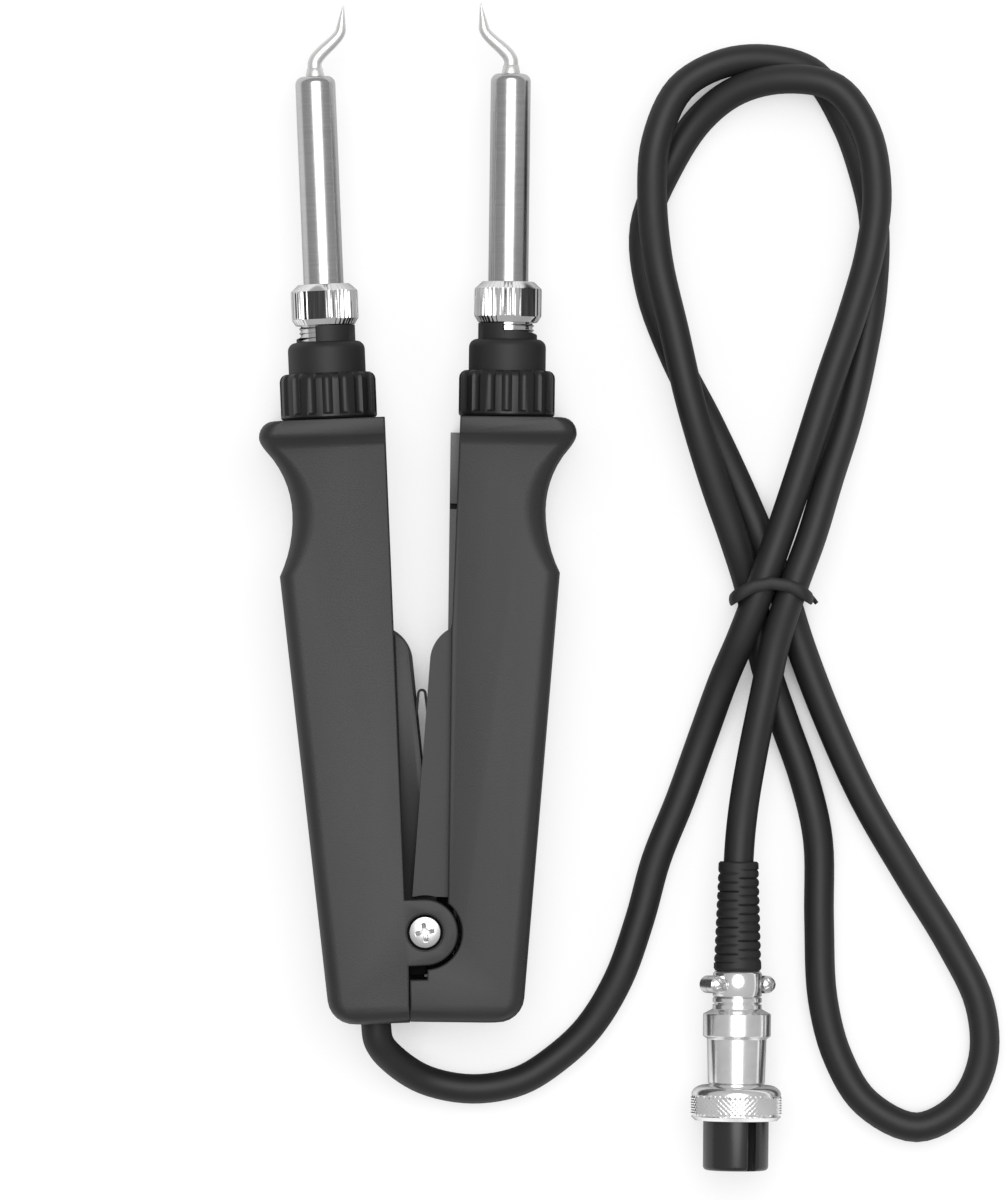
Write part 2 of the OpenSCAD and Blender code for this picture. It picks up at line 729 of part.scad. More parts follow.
module right_lower_shell() {
    color(plastic) right_arm() mirror([0, 0, 1]) difference() {
        knuckle_half(true);
        translate([0, 0, half_t - nut_t - nut_sink - run_fit])
            cylinder(d = nut_flat / cos(30) + 2 * seat_fit, h = far, $fn = 6);
        translate([-far, lobe_y, -past]) cube([far + pocket_edge, far, far]);
        translate([0, waist_y, -past]) cube([pocket_edge, 1.1, past + 2]);
    }
}

// Ring nut with scalloped flutes and rounded ends.
module ring_nut() {
    r = ring_d / 2;
    flute_r = 1;
    color(black) on_barrel() difference() {
        rotate_extrude() polygon([
            [holder_d / 2 + seat_fit, ring_y], [r - 0.5, ring_y], [r, ring_y + 0.5],
            [r, ring_y + ring_len - 1.2], [r - 0.4, ring_y + ring_len - 0.4],
            [r - 1.2, ring_y + ring_len], [holder_d / 2 + seat_fit, ring_y + ring_len]
        ]);
        for (k = [0:ring_flutes - 1]) rotate(360 * (k + 0.5) / ring_flutes)
            translate([r + flute_r * 0.45, 0, ring_y + 1])
                cylinder(r = flute_r, h = ring_len, $fn = 24);
    }
}

// Holder: rim and neck held by the shells, body inside the ring nut, half sleeve and ramp.
module heater_holder(turn) {
    r = holder_d / 2;
    rim_y = front_in - seat_fit - rear_rim_t;
    color(black) on_barrel() rotate([0, 0, turn]) difference() {
        union() {
            rotate_extrude() polygon(concat(
                [[0, rim_y], [rear_rim_r, rim_y], [rear_rim_r, rim_y + rear_rim_t],
                 [shank_d / 2, rim_y + rear_rim_t], [shank_d / 2, ring_y], [r, ring_y]],
                [for (a = [0:15:90]) [r - holder_round * (1 - cos(a)),
                    holder_top - holder_round * (1 - sin(a))]],
                [[0, holder_top]]
            ));
            intersection() {
                translate([0, 0, holder_top - past]) cylinder(d = sleeve_d, h = sleeve_len + past);
                translate([-far, -far, 0]) cube([far, 2 * far, far * 4]);
            }
            intersection() {
                translate([0, 0, holder_top - past]) cylinder(d = sleeve_d, h = sleeve_ramp + past);
                translate([0, 0, holder_top]) rotate([90, 0, 90]) linear_extrude(far) polygon([
                    [-sleeve_d / 2, -past], [sleeve_d / 2, -past], [sleeve_d / 2, 0],
                    [-sleeve_d / 2, sleeve_ramp]
                ]);
            }
        }
        translate([0, 0, thread_base]) cylinder(d = thread_d + 2 * seat_fit, h = far);
        translate([0, 0, rim_y - past]) cylinder(r = heater_collar_r, h = far);
    }
}

// Threaded bush that carries the barrel nut.
module thread_bush() {
    color(chrome) on_barrel() difference() {
        translate([0, 0, thread_base]) cylinder(d = thread_d, h = barrel_base - thread_base);
        translate([0, 0, thread_base - past]) cylinder(r = heater_collar_r + seat_fit, h = far);
    }
}

// Nut with straight knurling, two wrench flats and coned ends.
module barrel_nut(turn) {
    r = nut_d / 2;
    tooth = 0.3;
    color(chrome) on_barrel() difference() {
        intersection() {
            translate([0, 0, nut_y]) linear_extrude(nut_len) polygon([
                for (k = [0:2 * nut_teeth - 1])
                    (r - tooth * (k % 2)) * [cos(180 * k / nut_teeth), sin(180 * k / nut_teeth)]
            ]);
            rotate([0, 0, turn]) translate([-far, -nut_across / 2, nut_y])
                cube([2 * far, nut_across, nut_len]);
            rotate_extrude() polygon([
                [0, nut_y], [r - 1, nut_y], [r + 0.1, nut_y + 1.4], [r + 0.1, nut_top - 1.5],
                [r - 1.6, nut_top], [0, nut_top]
            ]);
        }
        translate([0, 0, nut_y - past])
            cylinder(d = thread_d + 2 * seat_fit, h = past + barrel_seat - nut_y);
        cylinder(d = barrel_d + 2 * seat_fit, h = far * 4);
    }
}

// Thin steel tube with a rim under the nut and a rounded, pierced end.
module barrel() {
    r = barrel_d / 2;
    color(steel) on_barrel() rotate_extrude() polygon(concat(
        [[barrel_bore_r, barrel_base], [thread_d / 2, barrel_base], [thread_d / 2, barrel_seat],
         [r, barrel_seat]],
        [for (a = [0:15:90])
            [r - barrel_round * (1 - cos(a)), barrel_top - barrel_round * (1 - sin(a))]],
        [[tip_neck_d / 2 + seat_fit, barrel_top], [tip_neck_d / 2 + seat_fit, tip_seat],
         [barrel_bore_r, tip_seat]]
    ));
}

// Ceramic rod with the collar that sits in the threaded bush.
module heater() {
    color(ceramic) on_barrel() {
        translate([0, 0, heater_base]) cylinder(d = heater_d, h = heater_top - heater_base);
        translate([0, 0, thread_base + 0.4])
            cylinder(r = heater_collar_r, h = barrel_base - thread_base - 0.6);
    }
}

// Path of the bent rod: an easy S from the barrel's axis, then the needle.
tip_steps = 9;
function tip_path() =
    let (
        base = barrel_top + tip_neck - tip_bevel,
        turn = base + tip_rod,
        reach = closed_x(tip_kink_y, tip_kink_d / 2) - head_axis
    )
    concat(
        [[0, base]],
        [for (k = [0:tip_steps])
            let (t = k / tip_steps) [reach * t * t * (3 - 2 * t), turn + (tip_kink_y - turn) * t]],
        [[tip_x - head_axis, tip_y]]
    );

// Hollow shank on the heater, neck in the barrel's end and the bent pointed rod.
module tip() {
    path = [for (p = tip_path()) [head_axis + p[0], p[1], 0]];
    last = len(path) - 1;
    radii = [for (i = [0:last])
        i == last ? tip_point_r
        : tip_rod_d / 2 + (tip_kink_d - tip_rod_d) / 2 * max(0, i - 1) / tip_steps];
    color(chrome) {
        on_barrel() difference() {
            rotate_extrude() polygon([
                [0, tip_base], [tip_shank_d / 2, tip_base], [tip_shank_d / 2, tip_seat],
                [tip_neck_d / 2, tip_seat], [tip_neck_d / 2, barrel_top + 2 * tip_bevel],
                [tip_rod_d / 2 + tip_bevel, barrel_top + tip_neck], [0, barrel_top + tip_neck]
            ]);
            translate([0, 0, barrel_base]) cylinder(r = heater_bore_r, h = heater_reach + heater_end_gap);
        }
        sweep(path, radii, 14);
    }
}

// Two screws that join an arm's half shells from below.
module housing_screws() {
    for (b = bosses) translate([b[0], b[1], 0]) {
        translate([0, 0, -half_t + boss_head - case_overlap])
            cylinder(d = case_screw_d, h = half_t - boss_head + boss_pilot - 2 * case_overlap);
        translate([0, 0, -half_t + case_sink]) difference() {
            cylinder(d = case_head_d, h = boss_head - case_sink);
            for (a = [0, 90]) rotate(a) translate([-1.1, -0.25, -past]) cube([2.2, 0.5, past + 0.8]);
        }
    }
}

// Pan-headed cross-slot screw down the hinge axis.
module hinge_screw() {
    head_z = half_t - screw_recess;
    color(steel) stood() {
        translate([0, 0, nut_sink - half_t]) cylinder(d = screw_d, h = head_z + half_t);
        difference() {
            intersection() {
                translate([0, 0, head_z + run_fit]) cylinder(d = screw_head_d, h = screw_head_h);
                translate([0, 0, head_z + screw_head_h - screw_dome]) sphere(r = screw_dome, $fn = 96);
            }
            for (a = [0, 90]) rotate(a + 8) translate([-1.8, -0.35, head_z + 1]) cube([3.6, 0.7, 3]);
        }
    }
}

module hinge_bush() {
    color(brass) stood() translate([0, 0, -pivot_bush_len / 2 + run_fit]) difference() {
        cylinder(d = pivot_bush_d, h = pivot_bush_len - 2 * run_fit);
        translate([0, 0, -past]) cylinder(d = screw_d + 2 * run_fit, h = far);
    }
}

module hinge_nut() {
    color(steel) right_arm() translate([0, 0, nut_sink - half_t]) difference() {
        cylinder(d = nut_flat / cos(30), h = nut_t, $fn = 6);
        translate([0, 0, -past]) cylinder(d = screw_d + 2 * run_fit, h = far);
    }
}

// Hairpin strip: a tight bend in front, legs that spread to the arms and hooked feet.
module opening_spring() {
    outer = spring_bend + spring_t;
    bend_y = spring_front - outer;
    leg_x = inner_edge + spring_foot * sin(splay) - spring_gap - spring_t;
    foot_x = leg_x + spring_t + wall - spring_gap;
    foot_y = spring_foot - spring_t / 2;
    foot_top = foot_y + spring_t;
    color(black) stood() translate([0, 0, -spring_w / 2]) linear_extrude(spring_w) polygon(concat(
        [for (a = [0:15:180]) [outer * cos(a), bend_y + outer * sin(a)]],
        [[-leg_x - spring_t, foot_top], [-foot_x, foot_top], [-foot_x, foot_y], [-leg_x, foot_y]],
        [for (a = [180:-15:0]) [spring_bend * cos(a), bend_y + spring_bend * sin(a)]],
        [[leg_x, foot_y], [foot_x, foot_y], [foot_x, foot_top], [leg_x + spring_t, foot_top]]
    ));
}

// A pair of leads, one above the other.
module lead_pair(path) {
    for (z = [-lead_rise, lead_rise]) tube([for (p = path) [p[0], p[1], z]], lead_d / 2);
}

// Plan of the leads inside an arm, from beside the hinge to the heater.
function arm_leads(x) = [
    [x, 34], [x + 0.4, 60], [head_axis - 1.2, heater_base - 18.4], [head_axis, heater_base - 8.4],
    [head_axis, heater_base - 0.05]
];

module left_leads() {
    x = cord_x + lead_side;
    color([0.75, 0.16, 0.12]) left_arm() lead_pair(concat(
        [[x, lead_start], [x, lead_start + 1], [x + 0.5, -4.5], [x + 1.5, -1], [x + 1.6, 14]],
        arm_leads(x + 1.4)
    ));
}

// Leads that cross in front of the knuckles to the right arm.
module crossing_leads() {
    x = cord_x - lead_side;
    left = [
        [x, lead_start], [x, lead_start + 1], [x + 0.7, -4.5], [x + 1.4, -1], [x + 1.1, 5],
        [x - 1.4, cross_y - 0.4]
    ];
    right = concat([[x - 1.4, cross_y + 0.1], [x + 1, cross_y + 4]], arm_leads(x + 1.8));
    color([0.12, 0.12, 0.13]) stood() lead_pair(concat(
        [for (p = left) let (q = to_rest(p[0], p[1])) [-q[0], q[1]]],
        [[-3, cross_y], [3, cross_y]],
        [for (p = right) to_rest(p[0], p[1])]
    ));
}

// Bar over the cord, on a post and a rib of the lower shell.
module cord_clamp() {
    bar_len = clamp_post + clamp_post_r - clamp_rib;
    color(plastic) left_arm() difference() {
        translate([clamp_rib, clamp_y - clamp_w / 2, -clamp_z - clamp_t])
            cube([bar_len, clamp_w, clamp_t]);
        cord_groove();
        translate([clamp_post, clamp_y, -far]) cylinder(d = clamp_screw_d + 2 * seat_fit, h = far);
    }
}

// Room for the cord between the clamp's post, rib and bar.
module cord_groove() {
    translate([cord_x, clamp_y - clamp_w, 0]) rotate([-90, 0, 0])
        cylinder(r = cord_r + seat_fit, h = 2 * clamp_w);
}

module cord_clamp_screw() {
    color(steel) left_arm() translate([clamp_post, clamp_y, -clamp_z - clamp_t]) {
        cylinder(d = clamp_screw_d, h = clamp_t + clamp_screw_len - past);
        translate([0, 0, -clamp_head_h]) cylinder(d = clamp_screw_d * 1.7, h = clamp_head_h);
    }
}

// Places a part of the plug: its Z axis runs from the cord to the mouth.
module plug(z = 0) {
    laid() translate([plug_at[0], plug_at[1], plug_z]) rotate([0, 0, -plug_yaw]) rotate([90, 0, 0])
        rotate([0, 0, -plug_roll]) translate([0, 0, z]) children();
}

function plug_point(z) = [plug_at[0] - z * sin(plug_yaw), plug_at[1] - z * cos(plug_yaw), plug_z];

module cord() {
    tail = [for (y = [cord_in_y, -arm_tail]) let (q = to_rest(cord_x, y)) [-q[0], q[1], rest_z]];
    color(rubber) laid()
        tube(concat(tail, cord_route, [plug_point(0), plug_point(cord_end_z)]), cord_r, 10);
}

// Band round the four strands of the hank.
module cord_tie() {
    w = tie_span;
    h = tie_top - tie_t;
    color(black) laid() translate([tie_at[0], tie_at[1] + tie_w / 2, tie_t + h / 2])
        rotate([90, 0, 0]) linear_extrude(tie_w) difference() {
            round_rect(w + 2 * tie_t, h + 2 * tie_t, 3 + tie_t);
            round_rect(w, h, 3);
        }
}

module round_rect(w, h, r) {
    square([w - 2 * r, h], center = true);
    square([w, h - 2 * r], center = true);
    for (x = [-1, 1], y = [-1, 1]) translate([x * (w / 2 - r), y * (h / 2 - r)]) circle(r = r);
}

// Tapered boot with four columns of slots, each half a pitch from the next.
module plug_boot() {
    pitch = (boot_len - 3) / (boot_rows + 0.5);
    slot = pitch * 0.5;
    turn = 45 - 90 + plug_roll;
    color(rubber) plug() difference() {
        rotate_extrude() polygon([
            [cord_r + seat_fit, 0], [boot_d / 2 - 0.4, 0], [boot_d / 2, 0.4],
            [boot_big_d / 2, boot_len], [cord_r + seat_fit, boot_len]
        ]);
        for (k = [0:boot_rows - 1], column = [0:3])
            rotate(turn + 90 * column)
                translate([cord_r + 2.6, 0, 1.5 + pitch * (k + 0.5 + column % 2 / 2)])
                    cube([4, boot_d * 0.62, slot], center = true);
    }
}

// Half of the cable clamp: the lower one is part of the shell, the upper one is a saddle.
module clamp_half(side) {
    r = collar_d / 2;
    bevel = 0.5;
    difference() {
        union() {
            rotate_extrude() polygon([
                [0, 0], [r - bevel, 0], [r, bevel], [r, saddle_len - bevel],
                [r - bevel, saddle_len], [0, saddle_len]
            ]);
            for (x = [-1, 1]) {
                translate([x * saddle_hole_x, 0, saddle_len / 2]) rotate([90, 0, 0])
                    cylinder(r = saddle_lug, h = saddle_ear_t, center = true);
                translate([x * saddle_hole_x / 2, 0, saddle_len / 2])
                    cube([saddle_hole_x, saddle_ear_t, 2 * saddle_lug], center = true);
            }
        }
        translate([0, 0, -past]) cylinder(r = cord_r + seat_fit, h = far);
        translate([-far, side > 0 ? saddle_split - far : -saddle_split, -past]) cube([2 * far, far, far]);
        saddle_holes();
    }
}

// Clear holes through the ears, with seats for the screw heads.
module saddle_holes() {
    for (x = [-1, 1]) translate([x * saddle_hole_x, 0, saddle_len / 2]) rotate([-90, 0, 0]) {
        translate([0, 0, -far]) cylinder(d = saddle_screw_d + 2 * run_fit, h = 2 * far);
        translate([0, 0, saddle_ear_t / 2]) cylinder(d = saddle_head_d + 2 * run_fit, h = far);
    }
}

module plug_clamp() {
    color(chrome) plug(saddle_z) clamp_half(1);
}

module plug_clamp_screws() {
    color(steel) plug(saddle_z) for (x = [-1, 1])
        translate([x * saddle_hole_x, 0, saddle_len / 2]) rotate([-90, 0, 0]) {
            translate([0, 0, -saddle_ear_t / 2]) cylinder(d = saddle_screw_d, h = saddle_ear_t);
            translate([0, 0, saddle_ear_t / 2]) difference() {
                intersection() {
                    cylinder(d = saddle_head_d, h = saddle_head_h);
                    translate([0, 0, saddle_head_h - saddle_head_d * 0.8]) sphere(d = saddle_head_d * 1.6);
                }
                for (a = [0, 90]) rotate(a + 30)
                    translate([-far, -0.2, saddle_head_h - 0.45]) cube([2 * far, 0.4, past]);
            }
        }
}

// Back shell: clamp half, collar, coned band, tapered body and the rim behind the insert.
module plug_shell() {
    r = collar_d / 2;
    color(chrome) plug() {
        translate([0, 0, saddle_z]) clamp_half(-1);
        rotate_extrude() polygon([
            [cord_r + seat_fit, collar_z], [r, collar_z], [r, collar_z + collar_len * 0.4],
            [r - 0.4, collar_z + collar_len * 0.4], [r - 0.4, collar_z + collar_len * 0.6],
            [r, collar_z + collar_len * 0.6], [r, band_z], [band_d / 2, band_z + 1],
            [band_d / 2, body_z - 0.6], [body_d / 2, body_z], [body_small_d / 2, coupling_z],
            [body_small_d / 2, body_end], [insert_d / 2, body_end], [insert_d / 2, insert_z],
            [cord_r + seat_fit, insert_z]
        ]);
    }
}

// Threaded ring that turns on the shell, domed behind and open in front.
module plug_coupling_ring() {
    r = coupling_d / 2;
    neck = body_small_d / 2 + run_fit + 0.05;
    dome = r - neck - 0.8;
    color(chrome) plug(coupling_z) rotate_extrude() polygon(concat(
        [[neck, 0.1]],
        [for (a = [0:15:90]) [neck + 0.8 + dome * sin(a), 0.1 + 2 * (1 - cos(a))]],
        [[r, coupling_len - 0.9], [r - 0.9, coupling_len], [coupling_bore_r, coupling_len],
         [coupling_bore_r, coupling_lip], [neck, coupling_lip]]
    ));
}

// Insert with a key groove and the contact holes.
module plug_insert() {
    r = insert_d / 2;
    color(black) plug() difference() {
        rotate_extrude() polygon([
            [0, insert_z], [r, insert_z], [r, insert_end - 0.5], [r - 0.5, insert_end], [0, insert_end]
        ]);
        translate([0, r, insert_end - insert_len / 2]) cube([1.8, 2, insert_len + past], center = true);
        contact_places() translate([0, 0, insert_z - past]) cylinder(d = contact_d, h = far);
    }
}

module contact_places() {
    for (k = [0:contact_count - 1])
        rotate(360 * k / contact_count) translate([insert_d * 0.33, 0, 0]) children();
    children();
}

module plug_contacts() {
    color(brass) plug() contact_places() translate([0, 0, insert_z + 0.05]) difference() {
        cylinder(d = contact_d - 2 * run_fit, h = insert_end - insert_z - 1);
        translate([0, 0, 4]) cylinder(d = contact_d - 0.7, h = far);
    }
}

module left_housing_screws() {
    color(steel) left_arm() mirror([0, 0, 1]) housing_screws();
}

module right_housing_screws() {
    color(steel) right_arm() housing_screws();
}

left_upper_shell();
left_lower_shell();
right_upper_shell();
right_lower_shell();
left_arm() ring_nut();  // left_ring_nut
right_arm() ring_nut();  // right_ring_nut
left_arm() heater_holder(left_holder_turn);  // left_heater_holder
right_arm() heater_holder(right_holder_turn);  // right_heater_holder
left_arm() thread_bush();  // left_thread_bush
right_arm() thread_bush();  // right_thread_bush
left_arm() barrel_nut(left_nut_turn);  // left_barrel_nut
right_arm() barrel_nut(right_nut_turn);  // right_barrel_nut
left_arm() barrel();  // left_barrel
right_arm() barrel();  // right_barrel
left_arm() heater();  // left_heater
right_arm() heater();  // right_heater
left_arm() tip();  // left_tip
right_arm() tip();  // right_tip
left_housing_screws();
right_housing_screws();
hinge_screw();
hinge_bush();
hinge_nut();
opening_spring();
left_leads();
crossing_leads();
cord_clamp();
cord_clamp_screw();
cord();
cord_tie();
plug_boot();
plug_clamp();
plug_clamp_screws();
plug_shell();
plug_coupling_ring();
plug_insert();
plug_contacts();
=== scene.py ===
"""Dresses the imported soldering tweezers: moulded arms, heater heads, lead and plug."""

import logging
import math
from dataclasses import dataclass, field
from enum import Enum
from typing import Callable, Sequence

import bmesh
import bpy
from mathutils import Matrix, Vector


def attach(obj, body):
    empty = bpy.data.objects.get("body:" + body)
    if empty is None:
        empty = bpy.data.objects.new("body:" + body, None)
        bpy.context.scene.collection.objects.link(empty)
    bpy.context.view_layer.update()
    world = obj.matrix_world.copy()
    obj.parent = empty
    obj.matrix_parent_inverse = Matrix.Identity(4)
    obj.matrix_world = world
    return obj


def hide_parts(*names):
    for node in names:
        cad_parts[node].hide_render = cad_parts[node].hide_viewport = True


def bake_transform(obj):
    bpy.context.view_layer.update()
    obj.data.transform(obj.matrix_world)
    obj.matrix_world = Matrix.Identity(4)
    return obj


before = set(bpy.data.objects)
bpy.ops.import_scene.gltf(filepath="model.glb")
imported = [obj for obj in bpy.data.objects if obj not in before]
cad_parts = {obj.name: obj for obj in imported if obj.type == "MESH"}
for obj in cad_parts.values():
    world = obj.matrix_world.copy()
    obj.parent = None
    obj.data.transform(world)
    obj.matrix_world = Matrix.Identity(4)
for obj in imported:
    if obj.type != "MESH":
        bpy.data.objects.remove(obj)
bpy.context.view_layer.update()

LOG = logging.getLogger("tweezers")
MM = 0.001
TURN = 2 * math.pi
Pair = tuple[float, float]
Triple = Point = Colour = tuple[float, float, float]
Edge = bmesh.types.BMEdge
Picker = Callable[[Edge], bool]
Piece = bpy.types.Object

# Where the arms stand on the table, in millimetres and radians.
FRAME_Y = 83.5537
REST_Z = 11.2
SPLAY = math.radians(1.55)
HEAD_AXIS = 14.95

# Where the cord enters the plug, and how the plug lies.
PLUG_AT: Point = (62.9, 13.0, 9.15)
PLUG_YAW = math.radians(1.4)

# How CAD copies are merged (mm), finished meshes welded (m), and faces judged level.
MERGE_GAP = 0.002
FLAT_EDGE = math.radians(0.4)
WELD_GAP = 1e-7
LEVEL = 0.98


class Side(Enum):
    """The two arms, each with its own frame."""

    LEFT = "left"
    RIGHT = "right"

    @property
    def body(self) -> str:
        """Name of the body that the arm's pieces ride on."""
        return f"{self.value}_arm"

    @property
    def matrix(self) -> Matrix:
        """The arm's frame: hinge at its origin, tips towards +Y, in millimetres."""
        stood = Matrix.Translation((0, -FRAME_Y, REST_Z))
        if self is Side.RIGHT:
            return stood @ Matrix.Rotation(-SPLAY, 4, "Z")
        return stood @ Matrix.Rotation(SPLAY, 4, "Z") @ Matrix.Rotation(math.pi, 4, "Y")

    @property
    def head(self) -> Matrix:
        """The heater head's frame, with Z along the barrel."""
        across = Matrix.Translation((HEAD_AXIS, 0, 0))
        return self.matrix @ across @ Matrix.Rotation(-math.pi / 2, 4, "X")


class Half(Enum):
    """The two half shells of an arm, by where their outer face looks along Z."""

    UPPER = 1.0
    LOWER = -1.0


class Sock:
    """A shader socket that takes part in Python expressions."""

    def __init__(self, paint: "Paint", socket: bpy.types.NodeSocket) -> None:
        """Keeps the socket and the tree that it belongs to."""
        self.paint = paint
        self.socket = socket

    def math(self, operation: str, *values: "Sock | float") -> "Sock":
        """Adds a Math node on these values."""
        return self.paint.node("Math", {"operation": operation}, dict(enumerate(values)))

    def __add__(self, other: "Sock | float") -> "Sock":
        """Sum."""
        return self.math("ADD", self, other)

    def __sub__(self, other: "Sock | float") -> "Sock":
        """Difference."""
        return self.math("SUBTRACT", self, other)

    def __rsub__(self, other: float) -> "Sock":
        """Difference from a number on the left."""
        return self.math("SUBTRACT", other, self)

    def __mul__(self, other: "Sock | float") -> "Sock":
        """Product."""
        return self.math("MULTIPLY", self, other)

    __radd__, __rmul__ = __add__, __mul__

    def between(self, low: float, high: float, start: float = 0.0, end: float = 1.0) -> "Sock":
        """Maps low..high smoothly to start..end.

        Args:
            low: Value that gives start.
            high: Value that gives end.
            start: First result.
            end: Last result.

        Returns:
            The mapped value.
        """
        limits = {"From Min": low, "From Max": high, "To Min": start, "To Max": end}
        return self.paint.node(
            "MapRange", {"interpolation_type": "SMOOTHSTEP"}, {"Value": self, **limits}
        )


@dataclass(frozen=True)
class Grain:
    """A noise: grains per metre, octaves, frequency along each axis, weight of finer grain."""

    scale: float
    detail: float = 2.0
    stretch: Point = (1.0, 1.0, 1.0)
    finer: float = 0.55


class Paint:
    """Adds nodes to one node tree."""

    def __init__(self, tree: bpy.types.NodeTree) -> None:
        """Empties the tree."""
        self.tree = tree
        tree.nodes.clear()

    def node(
        self,
        kind: str,
        settings: dict[str, object] | None = None,
        inputs: dict[str | int, object] | None = None,
        output: str | int = 0,
    ) -> Sock:
        """Adds a node.

        Args:
            kind: Node type without its ShaderNode prefix.
            settings: Properties of the node; stops are a ramp's (place, grey) pairs.
            inputs: Values or links of its sockets, by name or number.
            output: Socket to return.

        Returns:
            The chosen output.
        """
        made = self.tree.nodes.new("ShaderNode" + kind)
        for key, value in (settings or {}).items():
            if key == "stops":
                self.set_stops(made.color_ramp, value)
            else:
                setattr(made, key, value)
        for key, value in (inputs or {}).items():
            if isinstance(value, Sock):
                self.tree.links.new(value.socket, made.inputs[key])
            else:
                made.inputs[key].default_value = value
        return Sock(self, made.outputs[output]) if made.outputs else Sock(self, None)

    @staticmethod
    def set_stops(ramp: bpy.types.ColorRamp, stops: Sequence[Pair]) -> None:
        """Gives a ramp its grey stops.

        Args:
            ramp: Colour ramp with its first two stops.
            stops: Place and grey level of each stop, in order.
        """
        while len(ramp.elements) < len(stops):
            ramp.elements.new(1.0)
        for element, (place, grey) in zip(ramp.elements, stops):
            element.position = place
            element.color = (grey, grey, grey, 1.0)

    def noise(self, grain: Grain) -> Sock:
        """Noise from 0 to 1 in Object coordinates.

        Args:
            grain: Size and form of the noise.

        Returns:
            The noise value.
        """
        where = self.node("TexCoord", output="Object")
        laid = self.node(
            "Mapping", {"vector_type": "POINT"}, {"Vector": where, "Scale": grain.stretch}
        )
        sizes = {"Scale": grain.scale, "Detail": grain.detail, "Roughness": grain.finer}
        return self.node("TexNoise", {"noise_dimensions": "3D"}, {"Vector": laid, **sizes})

    def blend(self, factor: Sock, first: "Sock | Colour", second: "Sock | Colour") -> Sock:
        """Colour between two tones.

        Args:
            factor: Share of the second tone.
            first: Tone at 0.
            second: Tone at 1.

        Returns:
            The mixed colour.
        """
        tones = [tone if isinstance(tone, Sock) else (*tone, 1.0) for tone in (first, second)]
        sockets = {0: factor, 6: tones[0], 7: tones[1]}
        return self.node("Mix", {"data_type": "RGBA", "blend_type": "MIX"}, sockets, output=2)

    def bump(self, height: Sock, depth: float, strength: float) -> Sock:
        """Surface normal from a height, whose full range is depth metres."""
        return self.node("Bump", None, {"Height": height, "Distance": depth, "Strength": strength})

    def marked(self, name: str) -> Sock:
        """Value of a face's mark, 0 where the mesh has none."""
        return self.node("Attribute", {"attribute_name": name}, output="Fac")


@dataclass(frozen=True)
class Finish:
    """A finish: how one of the object's surfaces takes light."""

    name: str
    slot: str
    colour: Colour
    roughness: float
    gloss: float = 0.5

    def material(self) -> bpy.types.Material:
        """The finish's material, made once.

        Returns:
            The material.
        """
        found = bpy.data.materials.get(self.name)
        if found:
            return found
        made = bpy.data.materials.new(self.name)
        made.use_nodes = True
        paint = Paint(made.node_tree)
        sockets = {"Specular IOR Level": self.gloss, **self.surface(paint)}
        shader = paint.node("BsdfPrincipled", None, sockets)
        paint.node("OutputMaterial", None, {"Surface": shader})
        return made

    def tone(self, factor: float) -> Colour:
        """The finish's colour, lighter or darker."""
        red, green, blue = self.colour
        return (red * factor, green * factor, blue * factor)

    def surface(self, paint: Paint) -> dict[str, object]:
        """Sockets of the finish's shader."""
        raise NotImplementedError


@dataclass(frozen=True)
class MouldedPlastic(Finish):
    """Plastic from a grained mould, cloudy, with painted light on marked ledges and painted shade in marked
    recesses.
    """

    grain: float = 2600.0
    grain_depth: float = 0.00004
    grain_strength: float = 0.6
    cloud: float = 0.12
    cloud_grain: Grain = Grain(38.0, 3.0)
    flow_grain: Grain = Grain(30.0, 2.0, (6.0, 0.8, 6.0))
    flow_share: float = 0.4
    ledge_light_tone: float = 14.0
    ledge_light_grain: float = 0.3
    recess_shade_tone: float = 0.25
    dulling: Triple = (0.1, 0.06, 0.45)

    def surface(self, paint: Paint) -> dict[str, object]:
        """Cloudy colour, painted light and painted shade where marked, uneven sheen and a fine grain.

        Args:
            paint: The tree under way.

        Returns:
            The shader's sockets.
        """
        cloud, flow = paint.noise(self.cloud_grain), paint.noise(self.flow_grain)
        grain = paint.noise(Grain(self.grain))
        mixed = cloud * (1 - self.flow_share) + flow * self.flow_share
        low, high = self.tone(1 - self.cloud), self.tone(1 + self.cloud)
        mould = paint.blend(mixed.between(0.3, 0.7), low, high)
        painted_ledge_light, painted_recess_shade = paint.marked("painted_ledge_light"), paint.marked("painted_recess_shade")
        # Painted light: marked ledge faces are painted much lighter, with a little grain.
        ledge_light_share = painted_ledge_light * ((1 - self.ledge_light_grain) + self.ledge_light_grain * grain)
        with_ledge_light = paint.blend(ledge_light_share, mould, self.tone(self.ledge_light_tone))
        by_cloud, by_grain, by_recess_shade = self.dulling
        uneven = self.roughness + by_cloud * (cloud - 0.5) + by_grain * (grain - 0.5)
        # Painted shade: marked recess faces are painted darker, and made rougher.
        return {
            "Base Color": paint.blend(painted_recess_shade, with_ledge_light, self.tone(self.recess_shade_tone)),
            "Roughness": uneven + by_recess_shade * painted_recess_shade,
            "Normal": paint.bump(grain, self.grain_depth, self.grain_strength),
        }


